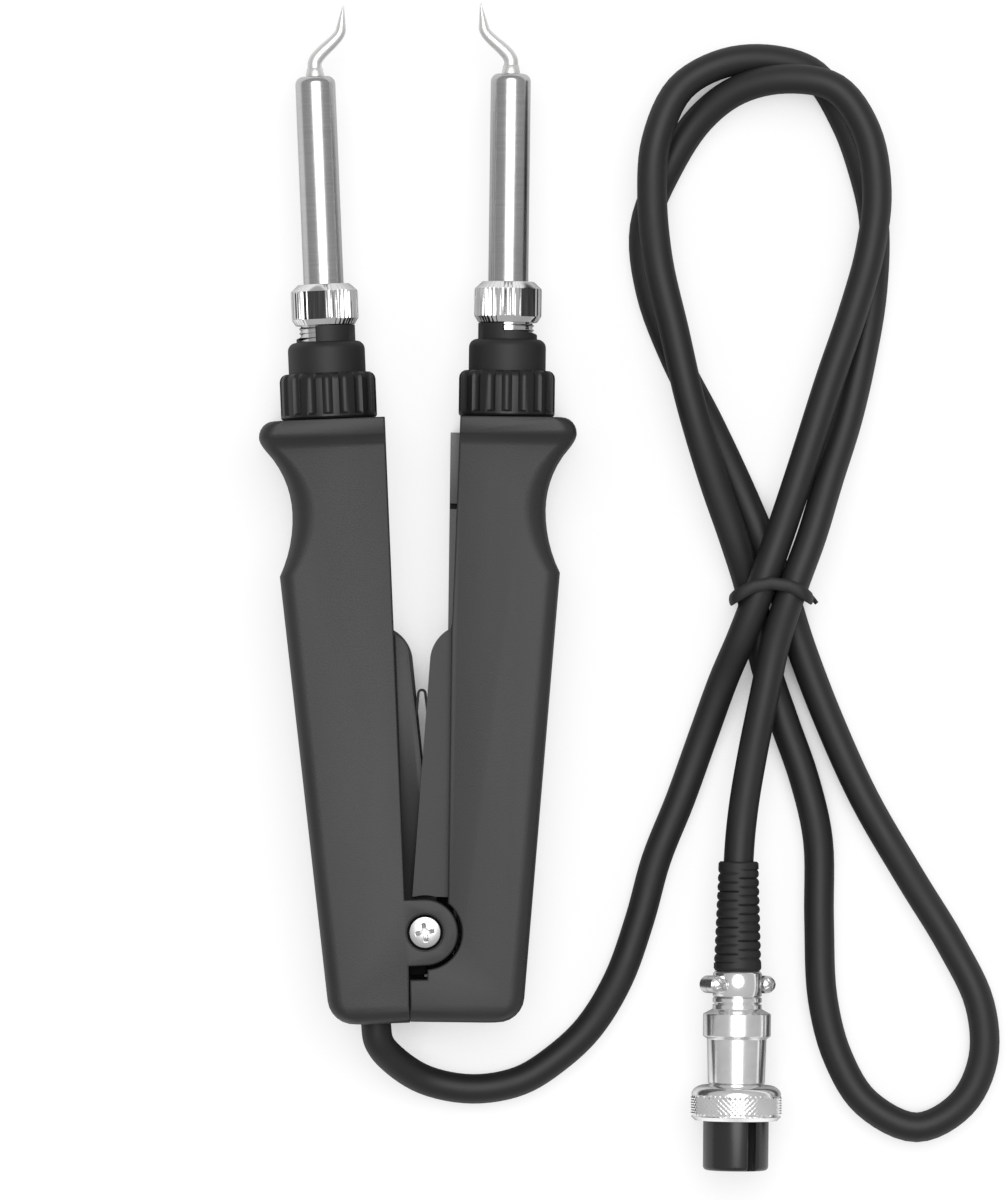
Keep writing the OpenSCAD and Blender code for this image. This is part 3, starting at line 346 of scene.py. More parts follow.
@dataclass(frozen=True)
class PlatedMetal(Finish):
    """Bright plating with faint haze and fine wiping marks, painted nearly black on marked flats as a
    painted dark reflection.
    """

    haze: float = 0.05
    haze_grain: Grain = Grain(160.0, 4.0)
    haze_tone: float = 0.9
    metal: float = 1.0
    mark_grain: Grain = Grain(900.0, 2.0, (1.0, 0.15, 1.0))
    mark_depth: float = 0.000004
    mark_strength: float = 0.35
    mark_dulling: float = 0.05
    streak_grain: Grain = Grain(1400.0, 2.0, (1.0, 0.04, 1.0))
    streak_share: float = 0.12
    flat_reflection_tone: float = 0.08

    def surface(self, paint: Paint) -> dict[str, object]:
        """Metal whose gloss changes a little from place to place.

        Args:
            paint: The tree under way.

        Returns:
            The shader's sockets.
        """
        dull = paint.noise(self.haze_grain).between(0.35, 0.75)
        marks = paint.noise(self.mark_grain)
        streaks = paint.noise(self.streak_grain).between(0.3, 0.75)
        # Marked flats are painted nearly black, a painted dark reflection, broken a little by streaks.
        dark = paint.marked("painted_flat_reflection") * (1 - self.streak_share * streaks)
        plate = paint.blend(dull, self.colour, self.tone(self.haze_tone))
        return {
            "Base Color": paint.blend(dark, plate, self.tone(self.flat_reflection_tone)),
            "Metallic": self.metal,
            "Roughness": self.roughness + self.haze * dull + self.mark_dulling * (marks - 0.5),
            "Normal": paint.bump(marks, self.mark_depth, self.mark_strength),
        }


@dataclass(frozen=True)
class DrawnSteel(Finish):
    """Steel tube polished in fine rings round its length, a little smeared."""

    ring_grain: Grain = Grain(5200.0, 2.0, (0.02, 1.0, 0.02))
    ring_depth: float = 0.000006
    ring_strength: float = 0.5
    ring_dulling: float = 0.1
    smear_grain: Grain = Grain(90.0, 3.0, (1.0, 0.3, 1.0))
    smear_dulling: float = 0.08
    tones: Pair = (0.9, 1.08)

    def surface(self, paint: Paint) -> dict[str, object]:
        """Fine rings in colour, gloss and height.

        Args:
            paint: The tree under way.

        Returns:
            The shader's sockets.
        """
        rings, smear = paint.noise(self.ring_grain), paint.noise(self.smear_grain)
        shade = rings * 0.5 + smear * 0.5
        low, high = (self.tone(factor) for factor in self.tones)
        uneven = self.ring_dulling * (rings - 0.5) + self.smear_dulling * (smear - 0.5)
        return {
            "Base Color": paint.blend(shade.between(0.3, 0.7), low, high),
            "Metallic": 1.0,
            "Roughness": self.roughness + uneven,
            "Normal": paint.bump(rings, self.ring_depth, self.ring_strength),
        }


@dataclass(frozen=True)
class Sheath(Finish):
    """Soft sheath with fine pores and a faint bloom."""

    bloom: float = 0.35
    bloom_grain: Grain = Grain(55.0, 4.0)
    bloom_dulling: float = 0.1
    pore_grain: Grain = Grain(3200.0)
    pore_depth: float = 0.00001
    pore_strength: float = 0.5
    pore_dulling: float = 0.08

    def surface(self, paint: Paint) -> dict[str, object]:
        """Slightly clouded colour with a soft, uneven sheen.

        Args:
            paint: The tree under way.

        Returns:
            The shader's sockets.
        """
        cloudy = paint.noise(self.bloom_grain).between(0.4, 0.75)
        pores = paint.noise(self.pore_grain)
        uneven = self.bloom_dulling * cloudy + self.pore_dulling * (pores - 0.5)
        return {
            "Base Color": paint.blend(cloudy, self.colour, self.tone(1 + self.bloom)),
            "Roughness": self.roughness + uneven,
            "Normal": paint.bump(pores, self.pore_depth, self.pore_strength),
        }


# The arm's marked ledge is painted ten times lighter, as painted light.
ARM = MouldedPlastic("arm_moulding", "arm_plastic", (0.0245, 0.0245, 0.025), 0.46, 0.39, ledge_light_tone=10.0)
PHENOLIC = MouldedPlastic("black_phenolic", "black_plastic", (0.013, 0.013, 0.0135), 0.55, 0.4,
                          grain=3400.0, grain_depth=0.00002)
RIBBED = MouldedPlastic("ribbed_phenolic", "black_plastic", (0.011, 0.011, 0.011), 0.36, 0.34,
                        grain=3400.0, grain_depth=0.00001)
NOSE = MouldedPlastic("plug_nose", "black_plastic", (0.016, 0.016, 0.016), 0.24,
                      grain=2400.0, grain_depth=0.000006)
CHROME = PlatedMetal("bright_plate", "chrome_plate", (0.82, 0.82, 0.825), 0.12)
SATIN = PlatedMetal("satin_plate", "chrome_plate", (0.94, 0.94, 0.94), 0.17, metal=0.93)
SCREW = PlatedMetal("screw_zinc", "screw_steel", (0.66, 0.66, 0.66), 0.34)
TIP = PlatedMetal("tip_plating", "tip_plate", (0.76, 0.76, 0.75), 0.4, haze=0.12, metal=0.85)
STEEL = DrawnSteel("barrel_tube", "barrel_steel", (0.5, 0.5, 0.5), 0.24)
BLACKED = Sheath("black_strip", "spring_steel", (0.007, 0.007, 0.007), 0.5, 0.3)
BRASS = PlatedMetal("turned_brass", "brass", (0.72, 0.53, 0.22), 0.25)
CERAMIC = MouldedPlastic("fired_ceramic", "ceramic", (0.82, 0.79, 0.73), 0.7)
RED_LEAD = Sheath("red_insulation", "red_lead", (0.42, 0.025, 0.02), 0.45)
BLACK_LEAD = Sheath("black_insulation", "black_lead", (0.02, 0.02, 0.02), 0.45)
CORD = Sheath("cord_sheath", "cord_rubber", (0.013, 0.013, 0.0135), 0.5, 0.4)
TIE = Sheath("tie_strip", "tie_plastic", (0.014, 0.014, 0.014), 0.55, 0.4)
BOOT = Sheath("boot_moulding", "boot_rubber", (0.013, 0.013, 0.013), 0.55, 0.4)


class Blank:
    """A mesh under way, in millimetres, shaped with bmesh operators."""

    def __init__(self) -> None:
        """Starts empty."""
        self.bm = bmesh.new()
        self.copied = False

    @classmethod
    def of_node(cls, node: str) -> "Blank":
        """A merged copy of a CAD node, with its flat faces joined.

        Args:
            node: Name of the node.

        Returns:
            The copy, in millimetres.
        """
        blank = cls()
        blank.copied = True
        blank.bm.from_mesh(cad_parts[node].data)
        bmesh.ops.scale(blank.bm, vec=(1 / MM,) * 3, verts=blank.bm.verts)
        bmesh.ops.remove_doubles(blank.bm, verts=blank.bm.verts, dist=MERGE_GAP)
        bmesh.ops.dissolve_limit(
            blank.bm, angle_limit=FLAT_EDGE, verts=blank.bm.verts, edges=blank.bm.edges
        )
        return blank

    def turn(
        self, profile: Sequence[Pair], steps: int = 96, soft: float = 0.0
    ) -> "Blank":
        """Turns a closed section round Z.

        Args:
            profile: Radius and height of the section's corners, in order.
            steps: Facets round the axis.
            soft: Rounding of the section's corners.

        Returns:
            The blank.
        """
        corners = [self.bm.verts.new((radius, 0, height)) for radius, height in profile]
        pairs = zip(corners, corners[1:] + corners[:1])
        edges = [self.bm.edges.new(pair) for pair in pairs]
        if soft:
            bmesh.ops.bevel(
                self.bm, geom=corners, offset=soft, offset_type="OFFSET", segments=2, profile=0.5,
                affect="VERTICES", clamp_overlap=True, material=-1,
            )
            edges = [edge for edge in self.bm.edges if not edge.link_faces]
            corners = list(dict.fromkeys(vert for edge in edges for vert in edge.verts))
        bmesh.ops.spin(
            self.bm, geom=corners + edges, cent=(0, 0, 0), axis=(0, 0, 1), angle=TURN,
            steps=steps, use_merge=True,
        )
        return self

    def draw(
        self,
        levels: Sequence[Pair],
        segments: int,
        wave: Callable[[float, int], float],
        closed: bool = True,
    ) -> "Blank":
        """Draws a ring through levels, each with its own waviness.

        Args:
            levels: Radius and height of each level, in order.
            segments: Corners of the ring.
            wave: What to add to the radius at an angle of a level.
            closed: Whether the last level joins the first.

        Returns:
            The blank.
        """
        ring = bmesh.ops.create_circle(self.bm, cap_ends=False, segments=segments, radius=1.0)["verts"]
        first = rim = list(dict.fromkeys(edge for vert in ring for edge in vert.link_edges))
        for number, (radius, height) in enumerate(levels):
            if number:
                grown = bmesh.ops.extrude_edge_only(self.bm, edges=rim)["geom"]
                ring = [item for item in grown if isinstance(item, bmesh.types.BMVert)]
                fresh = set(ring)
                rim = [
                    item for item in grown
                    if isinstance(item, Edge) and fresh.issuperset(item.verts)
                ]
            for vert in ring:
                angle = math.atan2(vert.co.y, vert.co.x)
                reach = radius + wave(angle, number)
                vert.co = (reach * math.cos(angle), reach * math.sin(angle), height)
        if closed:
            bmesh.ops.bridge_loops(self.bm, edges=first + rim)
        else:
            bmesh.ops.holes_fill(self.bm, edges=first + rim)
        return self

    def sweep(
        self, path: Sequence[Vector], radii: Sequence[float], segments: int = 20,
        flat: float = 1.0, up: Vector = Vector((0, 0, 1)), looped: bool = False,
    ) -> "Blank":
        """Draws a straight bar and bends it along a path.

        Args:
            path: Points that the bar follows.
            radii: Radius at each point.
            segments: Corners of the section.
            flat: Height of the section as a share of its width.
            up: Direction that the section's height leans to.
            looped: Whether the path closes on itself.

        Returns:
            The blank.
        """
        before = set(self.bm.verts)
        levels = [(1.0, float(number)) for number in range(len(path))]
        self.draw(levels, segments, lambda angle, number: 0.0, closed=looped)
        last = len(path) - 1
        for vert in set(self.bm.verts) - before:
            number = round(vert.co.z)
            back, ahead = number - 1, number + 1
            if looped:
                ahead %= last + 1
            along = (path[min(ahead, last)] - path[max(back, -1 if looped else 0)]).normalized()
            side = along.cross(up).normalized()
            rise = side.cross(along)
            radius = radii[number]
            vert.co = path[number] + radius * (vert.co.x * side + flat * vert.co.y * rise)
        return self

    def ease(self, width: float, pick: Picker) -> "Blank":
        """Rounds the picked edges.

        Args:
            width: Width of the rounding.
            pick: Tells whether an edge is rounded.

        Returns:
            The blank.
        """
        edges = [edge for edge in self.bm.edges if len(edge.link_faces) == 2 and pick(edge)]
        bmesh.ops.bevel(
            self.bm, geom=edges, offset=width, offset_type="OFFSET", segments=3, profile=0.5,
            affect="EDGES", clamp_overlap=False, material=-1,
        )
        return self

    def piece(
        self, name: str, finish: Finish, place: Matrix | None = None, sharp: float = 38.0
    ) -> Piece:
        """Makes the blank an object in the shared frame, its faces pointing outwards.

        Args:
            name: Name of the piece.
            finish: Finish of its surface.
            place: Frame that the blank was made in.
            sharp: Angle in degrees above which an edge stays sharp.

        Returns:
            The object, at the origin, with its place in its mesh.
        """
        if place is not None:
            bmesh.ops.transform(self.bm, matrix=place, verts=self.bm.verts)
        bmesh.ops.scale(self.bm, vec=(MM,) * 3, verts=self.bm.verts)
        bmesh.ops.remove_doubles(self.bm, verts=self.bm.verts, dist=WELD_GAP)
        if not self.copied:
            bmesh.ops.recalc_face_normals(self.bm, faces=self.bm.faces)
        mesh = bpy.data.meshes.new(name)
        self.bm.to_mesh(mesh)
        self.bm.free()
        mesh.polygons.foreach_set("use_smooth", [True] * len(mesh.polygons))
        mesh.set_sharp_from_angle(angle=math.radians(sharp))
        mesh.materials.append(finish.material())
        made = bpy.data.objects.new(name, mesh)
        bpy.context.scene.collection.objects.link(made)
        LOG.info("%s: %d faces", name, len(mesh.polygons))
        return made


def ride(made: Piece, body: str, *nodes: str) -> Piece:
    """Puts a piece on a body in place of CAD nodes.

    Args:
        made: The piece.
        body: Body that it moves with.
        nodes: Nodes that it stands for.

    Returns:
        The piece.
    """
    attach(made, body)
    if nodes:
        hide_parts(*nodes)
    return made


def ease_node(
    node: str, mark: str, finish: Finish, body: str, rounding: "Rounding"
) -> Piece:
    """Puts a copy of a CAD node with rounded edges in its place.

    Args:
        node: Name of the node.
        mark: End of the piece's name.
        finish: Finish of its surface.
        body: Body that it moves with.
        rounding: Rounding of its edges.

    Returns:
        The piece.
    """
    blank = Blank.of_node(node).ease(rounding.width, rounding.takes)
    return ride(blank.piece(f"{node}_{mark}", finish), body, node)


def coat(node: str, finish: Finish) -> None:
    """Gives a CAD node that stays a finish.

    Args:
        node: Name of the node.
        finish: Finish of its surface.
    """
    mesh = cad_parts[node].data
    mesh.materials.clear()
    mesh.materials.append(finish.material())
    LOG.info("%s: coated with %s", node, finish.name)


def edge_angle(edge: Edge) -> float:
    """Angle in degrees between the faces of an edge."""
    return math.degrees(edge.calc_face_angle(0.0))


@dataclass(frozen=True)
class Rounding:
    """Rounding of outer edges: its width, and the least angle and length of an edge."""

    width: float
    angle: float
    length: float

    def takes(self, edge: Edge) -> bool:
        """Whether an edge stands out and is long enough to round."""
        return edge.is_convex and edge_angle(edge) > self.angle and edge.calc_length() > self.length


@dataclass
class Studio:
    """Camera, floor and light, as the photograph was taken: straight from above."""

    middle: Point = (0.0167, -0.01755, 0.011)
    view_height: float = 0.240
    distance: float = 2.4
    roll: float = math.radians(-0.82)
    sensor: float = 36.0
    floor_size: float = 40.0
    floor_at: Point = (6.0, 2.0, -0.0002)
    floor_tone: float = 0.3
    floor_grain: Grain = Grain(400.0)
    floor_mottle: float = 0.01
    floor_roughness: float = 0.9
    glow: float = 0.71
    contact: float = 0.012
    contact_shade: tuple[float, ...] = (0.0, 0.55, 0.1, 1.0)
    mirrored_contact: float = 0.03
    mirrored_shade: tuple[float, ...] = (0.55, 1.0)
    overhead: float = 1.95
    overhead_spread: float = math.radians(50)
    overhead_lean: Pair = (math.radians(-14), math.radians(3))
    room_tones: tuple[Pair, ...] = (
        (0.0, 0.42), (0.3, 0.46), (0.6, 0.48), (0.85, 0.5), (1.0, 0.6),
    )

    def build(self) -> None:
        """Sets up the camera, the floor and the lights."""
        scene = bpy.context.scene
        scene.view_settings.view_transform = "Standard"
        self.camera()
        self.floor()
        self.lamp()
        self.room()

    def camera(self) -> None:
        """A camera above the middle of the frame, looking down."""
        data = bpy.data.cameras.new("camera")
        data.sensor_fit = "VERTICAL"
        data.sensor_height = self.sensor
        data.lens = self.sensor * self.distance / self.view_height
        data.clip_start, data.clip_end = 0.01, 100.0
        made = bpy.data.objects.new("camera", data)
        x, y, z = self.middle
        made.location = (x, y, z + self.distance)
        made.rotation_euler = (0, 0, self.roll)
        bpy.context.scene.collection.objects.link(made)
        bpy.context.scene.camera = made

    def floor(self) -> None:
        """A white sheet under everything, glowing to camera, glossy and transmission rays, its glow painted
        darker near objects as painted contact shadow.
        """
        bm = bmesh.new()
        bmesh.ops.create_grid(bm, x_segments=1, y_segments=1, size=self.floor_size / 2)
        bmesh.ops.translate(bm, vec=self.floor_at, verts=bm.verts)
        mesh = bpy.data.meshes.new("floor")
        bm.to_mesh(mesh)
        bm.free()
        made = bpy.data.objects.new("floor", mesh)
        bpy.context.scene.collection.objects.link(made)
        sheet = bpy.data.materials.new("floor_sheet")
        sheet.use_nodes = True
        paint = Paint(sheet.node_tree)
        grain = paint.noise(self.floor_grain)
        low, high = (self.floor_tone * (1 + sign * self.floor_mottle) for sign in (-1, 1))
        near = self.open_sky(paint, self.contact).between(*self.contact_shade)
        mirrored = self.open_sky(paint, self.mirrored_contact).between(*self.mirrored_shade)
        direct, glossy, through = (
            paint.node("LightPath", output=f"Is {kind} Ray")
            for kind in ("Camera", "Glossy", "Transmission")
        )
        seen = direct * near + (glossy + through) * mirrored
        shader = paint.node("BsdfPrincipled", None, {
            "Base Color": paint.blend(grain, (low, low, low), (high, high, high)),
            "Roughness": self.floor_roughness, "Specular IOR Level": 0.0,
            "Emission Color": paint.blend(seen, (0.0, 0.0, 0.0), (1.0, 1.0, 1.0)),
            "Emission Strength": self.glow,
        })
        paint.node("OutputMaterial", None, {"Surface": shader})
        mesh.materials.append(sheet)

    @staticmethod
    def open_sky(paint: Paint, reach: float) -> Sock:
        """How open the place is to the light, within a reach in metres."""
        return paint.node("AmbientOcclusion", {"samples": 12}, {"Distance": reach}, "AO")

    def lamp(self) -> None:
        """A broad soft light overhead, a little beyond the tips."""
        data = bpy.data.lights.new("overhead", "SUN")
        data.energy = self.overhead
        data.angle = self.overhead_spread
        made = bpy.data.objects.new("overhead", data)
        made.rotation_euler = (*self.overhead_lean, 0)
        bpy.context.scene.collection.objects.link(made)

    def room(self) -> None:
        """An even room, palest overhead."""
        world = bpy.data.worlds.new("room")
        world.use_nodes = True
        paint = Paint(world.node_tree)
        where = paint.node("TexCoord", output="Generated")
        height = paint.node("SeparateXYZ", None, {0: where}, output="Z")
        level = paint.node("ValToRGB", {"stops": self.room_tones}, {"Fac": height})
        shade = paint.node("Background", None, {"Color": level, "Strength": 1.0})
        paint.node("OutputWorld", None, {"Surface": shade})
        bpy.context.scene.world = world


@dataclass
class Lead:
    """The cord, from the left arm's tail to the plug, and the tie round its hank."""

    diameter: float = 6.0
    length: float = 0.0
    facets: int = 6
    tail: Point = (10.6, -17.9, 0.0)
    inside: float = 6.0
    plug_depth: float = 24.0
    between: int = 6
    route: list[Point] = field(default_factory=lambda: [
        (-9.6, -22, 10.4), (-7, -25.5, 7.8), (-0.5, -30, 4.2), (9, -32, 3), (18.5, -30.5, 3),
        (26, -26, 3), (32.5, -20, 3), (38.5, -10.5, 3), (43, 1.5, 3), (46.5, 13.5, 3),
        (51.5, 25.5, 3), (56, 37.5, 3.2), (60.5, 49.5, 5.4), (64, 57.5, 8.8), (68, 67.5, 10.5),
        (73, 81, 10.2), (77.5, 94, 9.8), (82.5, 109, 9.5), (87.5, 123, 9.4), (91, 135, 9.4),
        (92.5, 147, 9.4), (90.5, 159, 9.4), (84.5, 167.5, 9.4), (74.5, 169.5, 8.4),
        (65, 167.5, 6.2), (57.5, 162, 4.2), (51, 152.5, 3.1), (46, 140.5, 3), (47, 127.5, 3),
        (52, 113.5, 3), (58, 101.5, 3), (63.5, 89.5, 3), (68.5, 77.5, 3.6), (72.5, 67.5, 4.2),
        (76, 56, 3.4), (81.5, 41, 3), (88.5, 25, 3), (97.5, 9, 3), (105.5, -4.5, 3),
        (111, -16.5, 3), (111.5, -27.5, 3), (107, -36.5, 3), (98, -41, 3), (88, -36, 3),
        (82.5, -27, 3), (79.5, -15, 3), (79, 1, 3), (79, 17, 3), (76.5, 29, 3), (72.5, 41, 3),
        (69, 52, 3.2), (66, 67.5, 4.2), (63, 77.5, 6.8), (59, 89.5, 8.4), (54.5, 105.5, 9.3),
        (51.5, 119.5, 9.4), (48.5, 133.5, 9.4), (47.5, 146.5, 9.4), (48.5, 157.5, 8.8),
        (53.5, 168, 7.2), (62.5, 173, 5.6), (72.5, 173.5, 4), (80.5, 170.5, 3.1),
        (86.5, 161, 3), (90, 151, 3), (92, 141, 3), (91.5, 127, 3), (89, 113, 3.6),
        (86, 101, 5.2), (82, 89, 7.8), (78.5, 78, 9.8), (74.5, 67.5, 10.5), (71, 57, 9.7),
        (68.5, 46, 9.4), (66, 34.5, 9), (64, 23.5, 9),
    ])
    tie_at: Pair = (70.2, 67.5)
    tie_size: Pair = (15.9, 13.6)
    tie_foot: float = 0.55
    tie_bow: float = 3.2
    tie_middle: float = 0.35
    tie_squareness: float = 0.42
    tie_steps: int = 48
    tie_strip: Pair = (0.5, 2.5)
    tie_tail: tuple[Point, ...] = ((-0.2, 0.7, 0), (0.3, 0.1, 0), (0.8, -0.5, 0), (1.2, -1.0, 0))
    tie_tail_radii: tuple[float, ...] = (0.5, 0.5, 0.48, 0.42)
    tie_tail_flat: float = 1.8

    def points(self) -> list[Vector]:
        """The cord's centreline, smooth, in metres.

        Returns:
            Points along it, from the arm to the plug.
        """
        down = Vector((-math.sin(PLUG_YAW), -math.cos(PLUG_YAW), 0))
        stood = Matrix.Translation((0, FRAME_Y, 0)) @ Side.LEFT.matrix
        x, y, z = self.tail
        ends = [stood @ Vector((x, y + self.inside, z)), stood @ Vector((x, y, z))]
        plug = Vector(PLUG_AT)
        bends = ends + [Vector(p) for p in self.route] + [plug, plug + down * self.plug_depth]
        bends = [2 * bends[0] - bends[1], *bends, 2 * bends[-1] - bends[-2]]
        line: list[Vector] = []
        for span in zip(bends, bends[1:], bends[2:], bends[3:]):
            line += [self.smooth(span, step / self.between) for step in range(self.between)]
        line.append(bends[-2])
        return [(point - Vector((0, FRAME_Y, 0))) * MM for point in line]

    @staticmethod
    def smooth(span: Sequence[Vector], share: float) -> Vector:
        """A point on an even curve between the middle two of four points.

        Args:
            span: The four points, in order.
            share: Share of the way from the second to the third.

        Returns:
            The point.
        """
        a, b, c, d = span
        t1 = (b - a).length ** 0.5
        t2 = t1 + (c - b).length ** 0.5
        t3 = t2 + (d - c).length ** 0.5
        at = t1 + (t2 - t1) * share
        left = a.lerp(b, at / t1)
        middle = b.lerp(c, share)
        right = c.lerp(d, (at - t2) / (t3 - t2))
        first = left.lerp(middle, at / t2)
        second = middle.lerp(right, (at - t1) / (t3 - t1))
        return first.lerp(second, share)

    def build(self) -> tuple[Piece, Piece]:
        """Lays the cord and ties its hank.

        Returns:
            The cord and the tie.
        """
        line = self.points()
        data = bpy.data.curves.new("cord_line", "CURVE")
        data.dimensions = "3D"
        data.bevel_depth = self.diameter / 2 * MM
        data.bevel_resolution = self.facets
        data.use_fill_caps = True
        spline = data.splines.new("POLY")
        spline.points.add(len(line) - 1)
        for knot, point in zip(spline.points, line):
            knot.co = (*point, 1.0)
        spline.use_smooth = True
        data.materials.append(CORD.material())
        cord = bpy.data.objects.new("cord_line", data)
        bpy.context.scene.collection.objects.link(cord)
        ride(cord, Side.LEFT.body, "cord")
        self.length = sum((b - a).length for a, b in zip(line, line[1:]))
        LOG.info("cord_line: %.3f m", self.length)
        return cord, self.tie()

    def tie(self) -> Piece:
        """A thin strip drawn round the crossing strands, bowed towards the tips.

        Returns:
            The piece.
        """
        wide, high = self.tie_size
        x, y = self.tie_at
        path = []
        for k in range(self.tie_steps):
            angle = TURN * k / self.tie_steps
            c, s = math.cos(angle), math.sin(angle)
            dx = wide / 2 * math.copysign(abs(c) ** self.tie_squareness, c)
            dz = high / 2 * math.copysign(abs(s) ** self.tie_squareness, s)
            bow = self.tie_bow * (self.tie_middle - (2 * dx / wide) ** 2)
            path.append(Vector((x + dx, y - FRAME_Y + bow, self.tie_foot + high / 2 + dz)))
        radius, flat = self.tie_strip
        radii = [radius] * self.tie_steps
        blank = Blank().sweep(path, radii, 12, flat, Vector((0, 1, 0)), looped=True)
        tail = [path[0] + Vector(step) for step in self.tie_tail]
        blank.sweep(tail, self.tie_tail_radii, 10, self.tie_tail_flat)
        made = blank.piece("hank_tie", TIE)
        return ride(made, Side.LEFT.body, "cord_tie")


@dataclass
class ToolArm:
    """One arm: its two half shells and what fixes them."""

    side: Side
    rim: Rounding = Rounding(0.4, 50.0, 0.0)
    face_height: float = 9.9
    ledge_span: float = 0.3
    recess_top: float = 9.0
    recess_reach: float = 13.0

    def build(self) -> None:
        """Dresses the shells and the hidden fixings."""
        for half in Half:
            self.shell(half)
        coat(f"{self.side.value}_housing_screws", SCREW)
        coat(f"{self.side.value}_heater", CERAMIC)

    def shell(self, half: Half) -> None:
        """Rounds a half shell's face edges and gives it the arm's finish.

        Args:
            half: Which half shell.
        """
        node = f"{self.side.value}_{half.name.lower()}_shell"

        def on_face(edge: Edge) -> bool:
            """Whether the edge bounds the shell's flat outer face."""
            high = all(abs(vert.co.z - REST_Z) > self.face_height for vert in edge.verts)
            return high and self.rim.takes(edge) and max(
                face.normal.z * half.value for face in edge.link_faces
            ) > LEVEL

        blank = Blank.of_node(node).ease(self.rim.width, on_face)
        painted_ledge_light, painted_recess_shade = (blank.bm.faces.layers.float.new(name) for name in ("painted_ledge_light", "painted_recess_shade"))
        pivot = Vector((0, -FRAME_Y, REST_Z))
        for face in blank.bm.faces:
            place = face.calc_center_median() - pivot
            hidden = face.normal.z > LEVEL and place.z < self.recess_top
            close = place.to_2d().length < self.recess_reach
            ledge = half is Half.LOWER and abs(place.z) < self.ledge_span
            # The lower shell's parting ledge, away from the hinge, is marked for painted light.
            face[painted_ledge_light] = float(hidden and ledge and not close)
            # Level faces low down near the hinge are marked for painted shade.
            face[painted_recess_shade] = float(hidden and close)
        ride(blank.piece(f"{node}_skin", ARM), self.side.body, node)


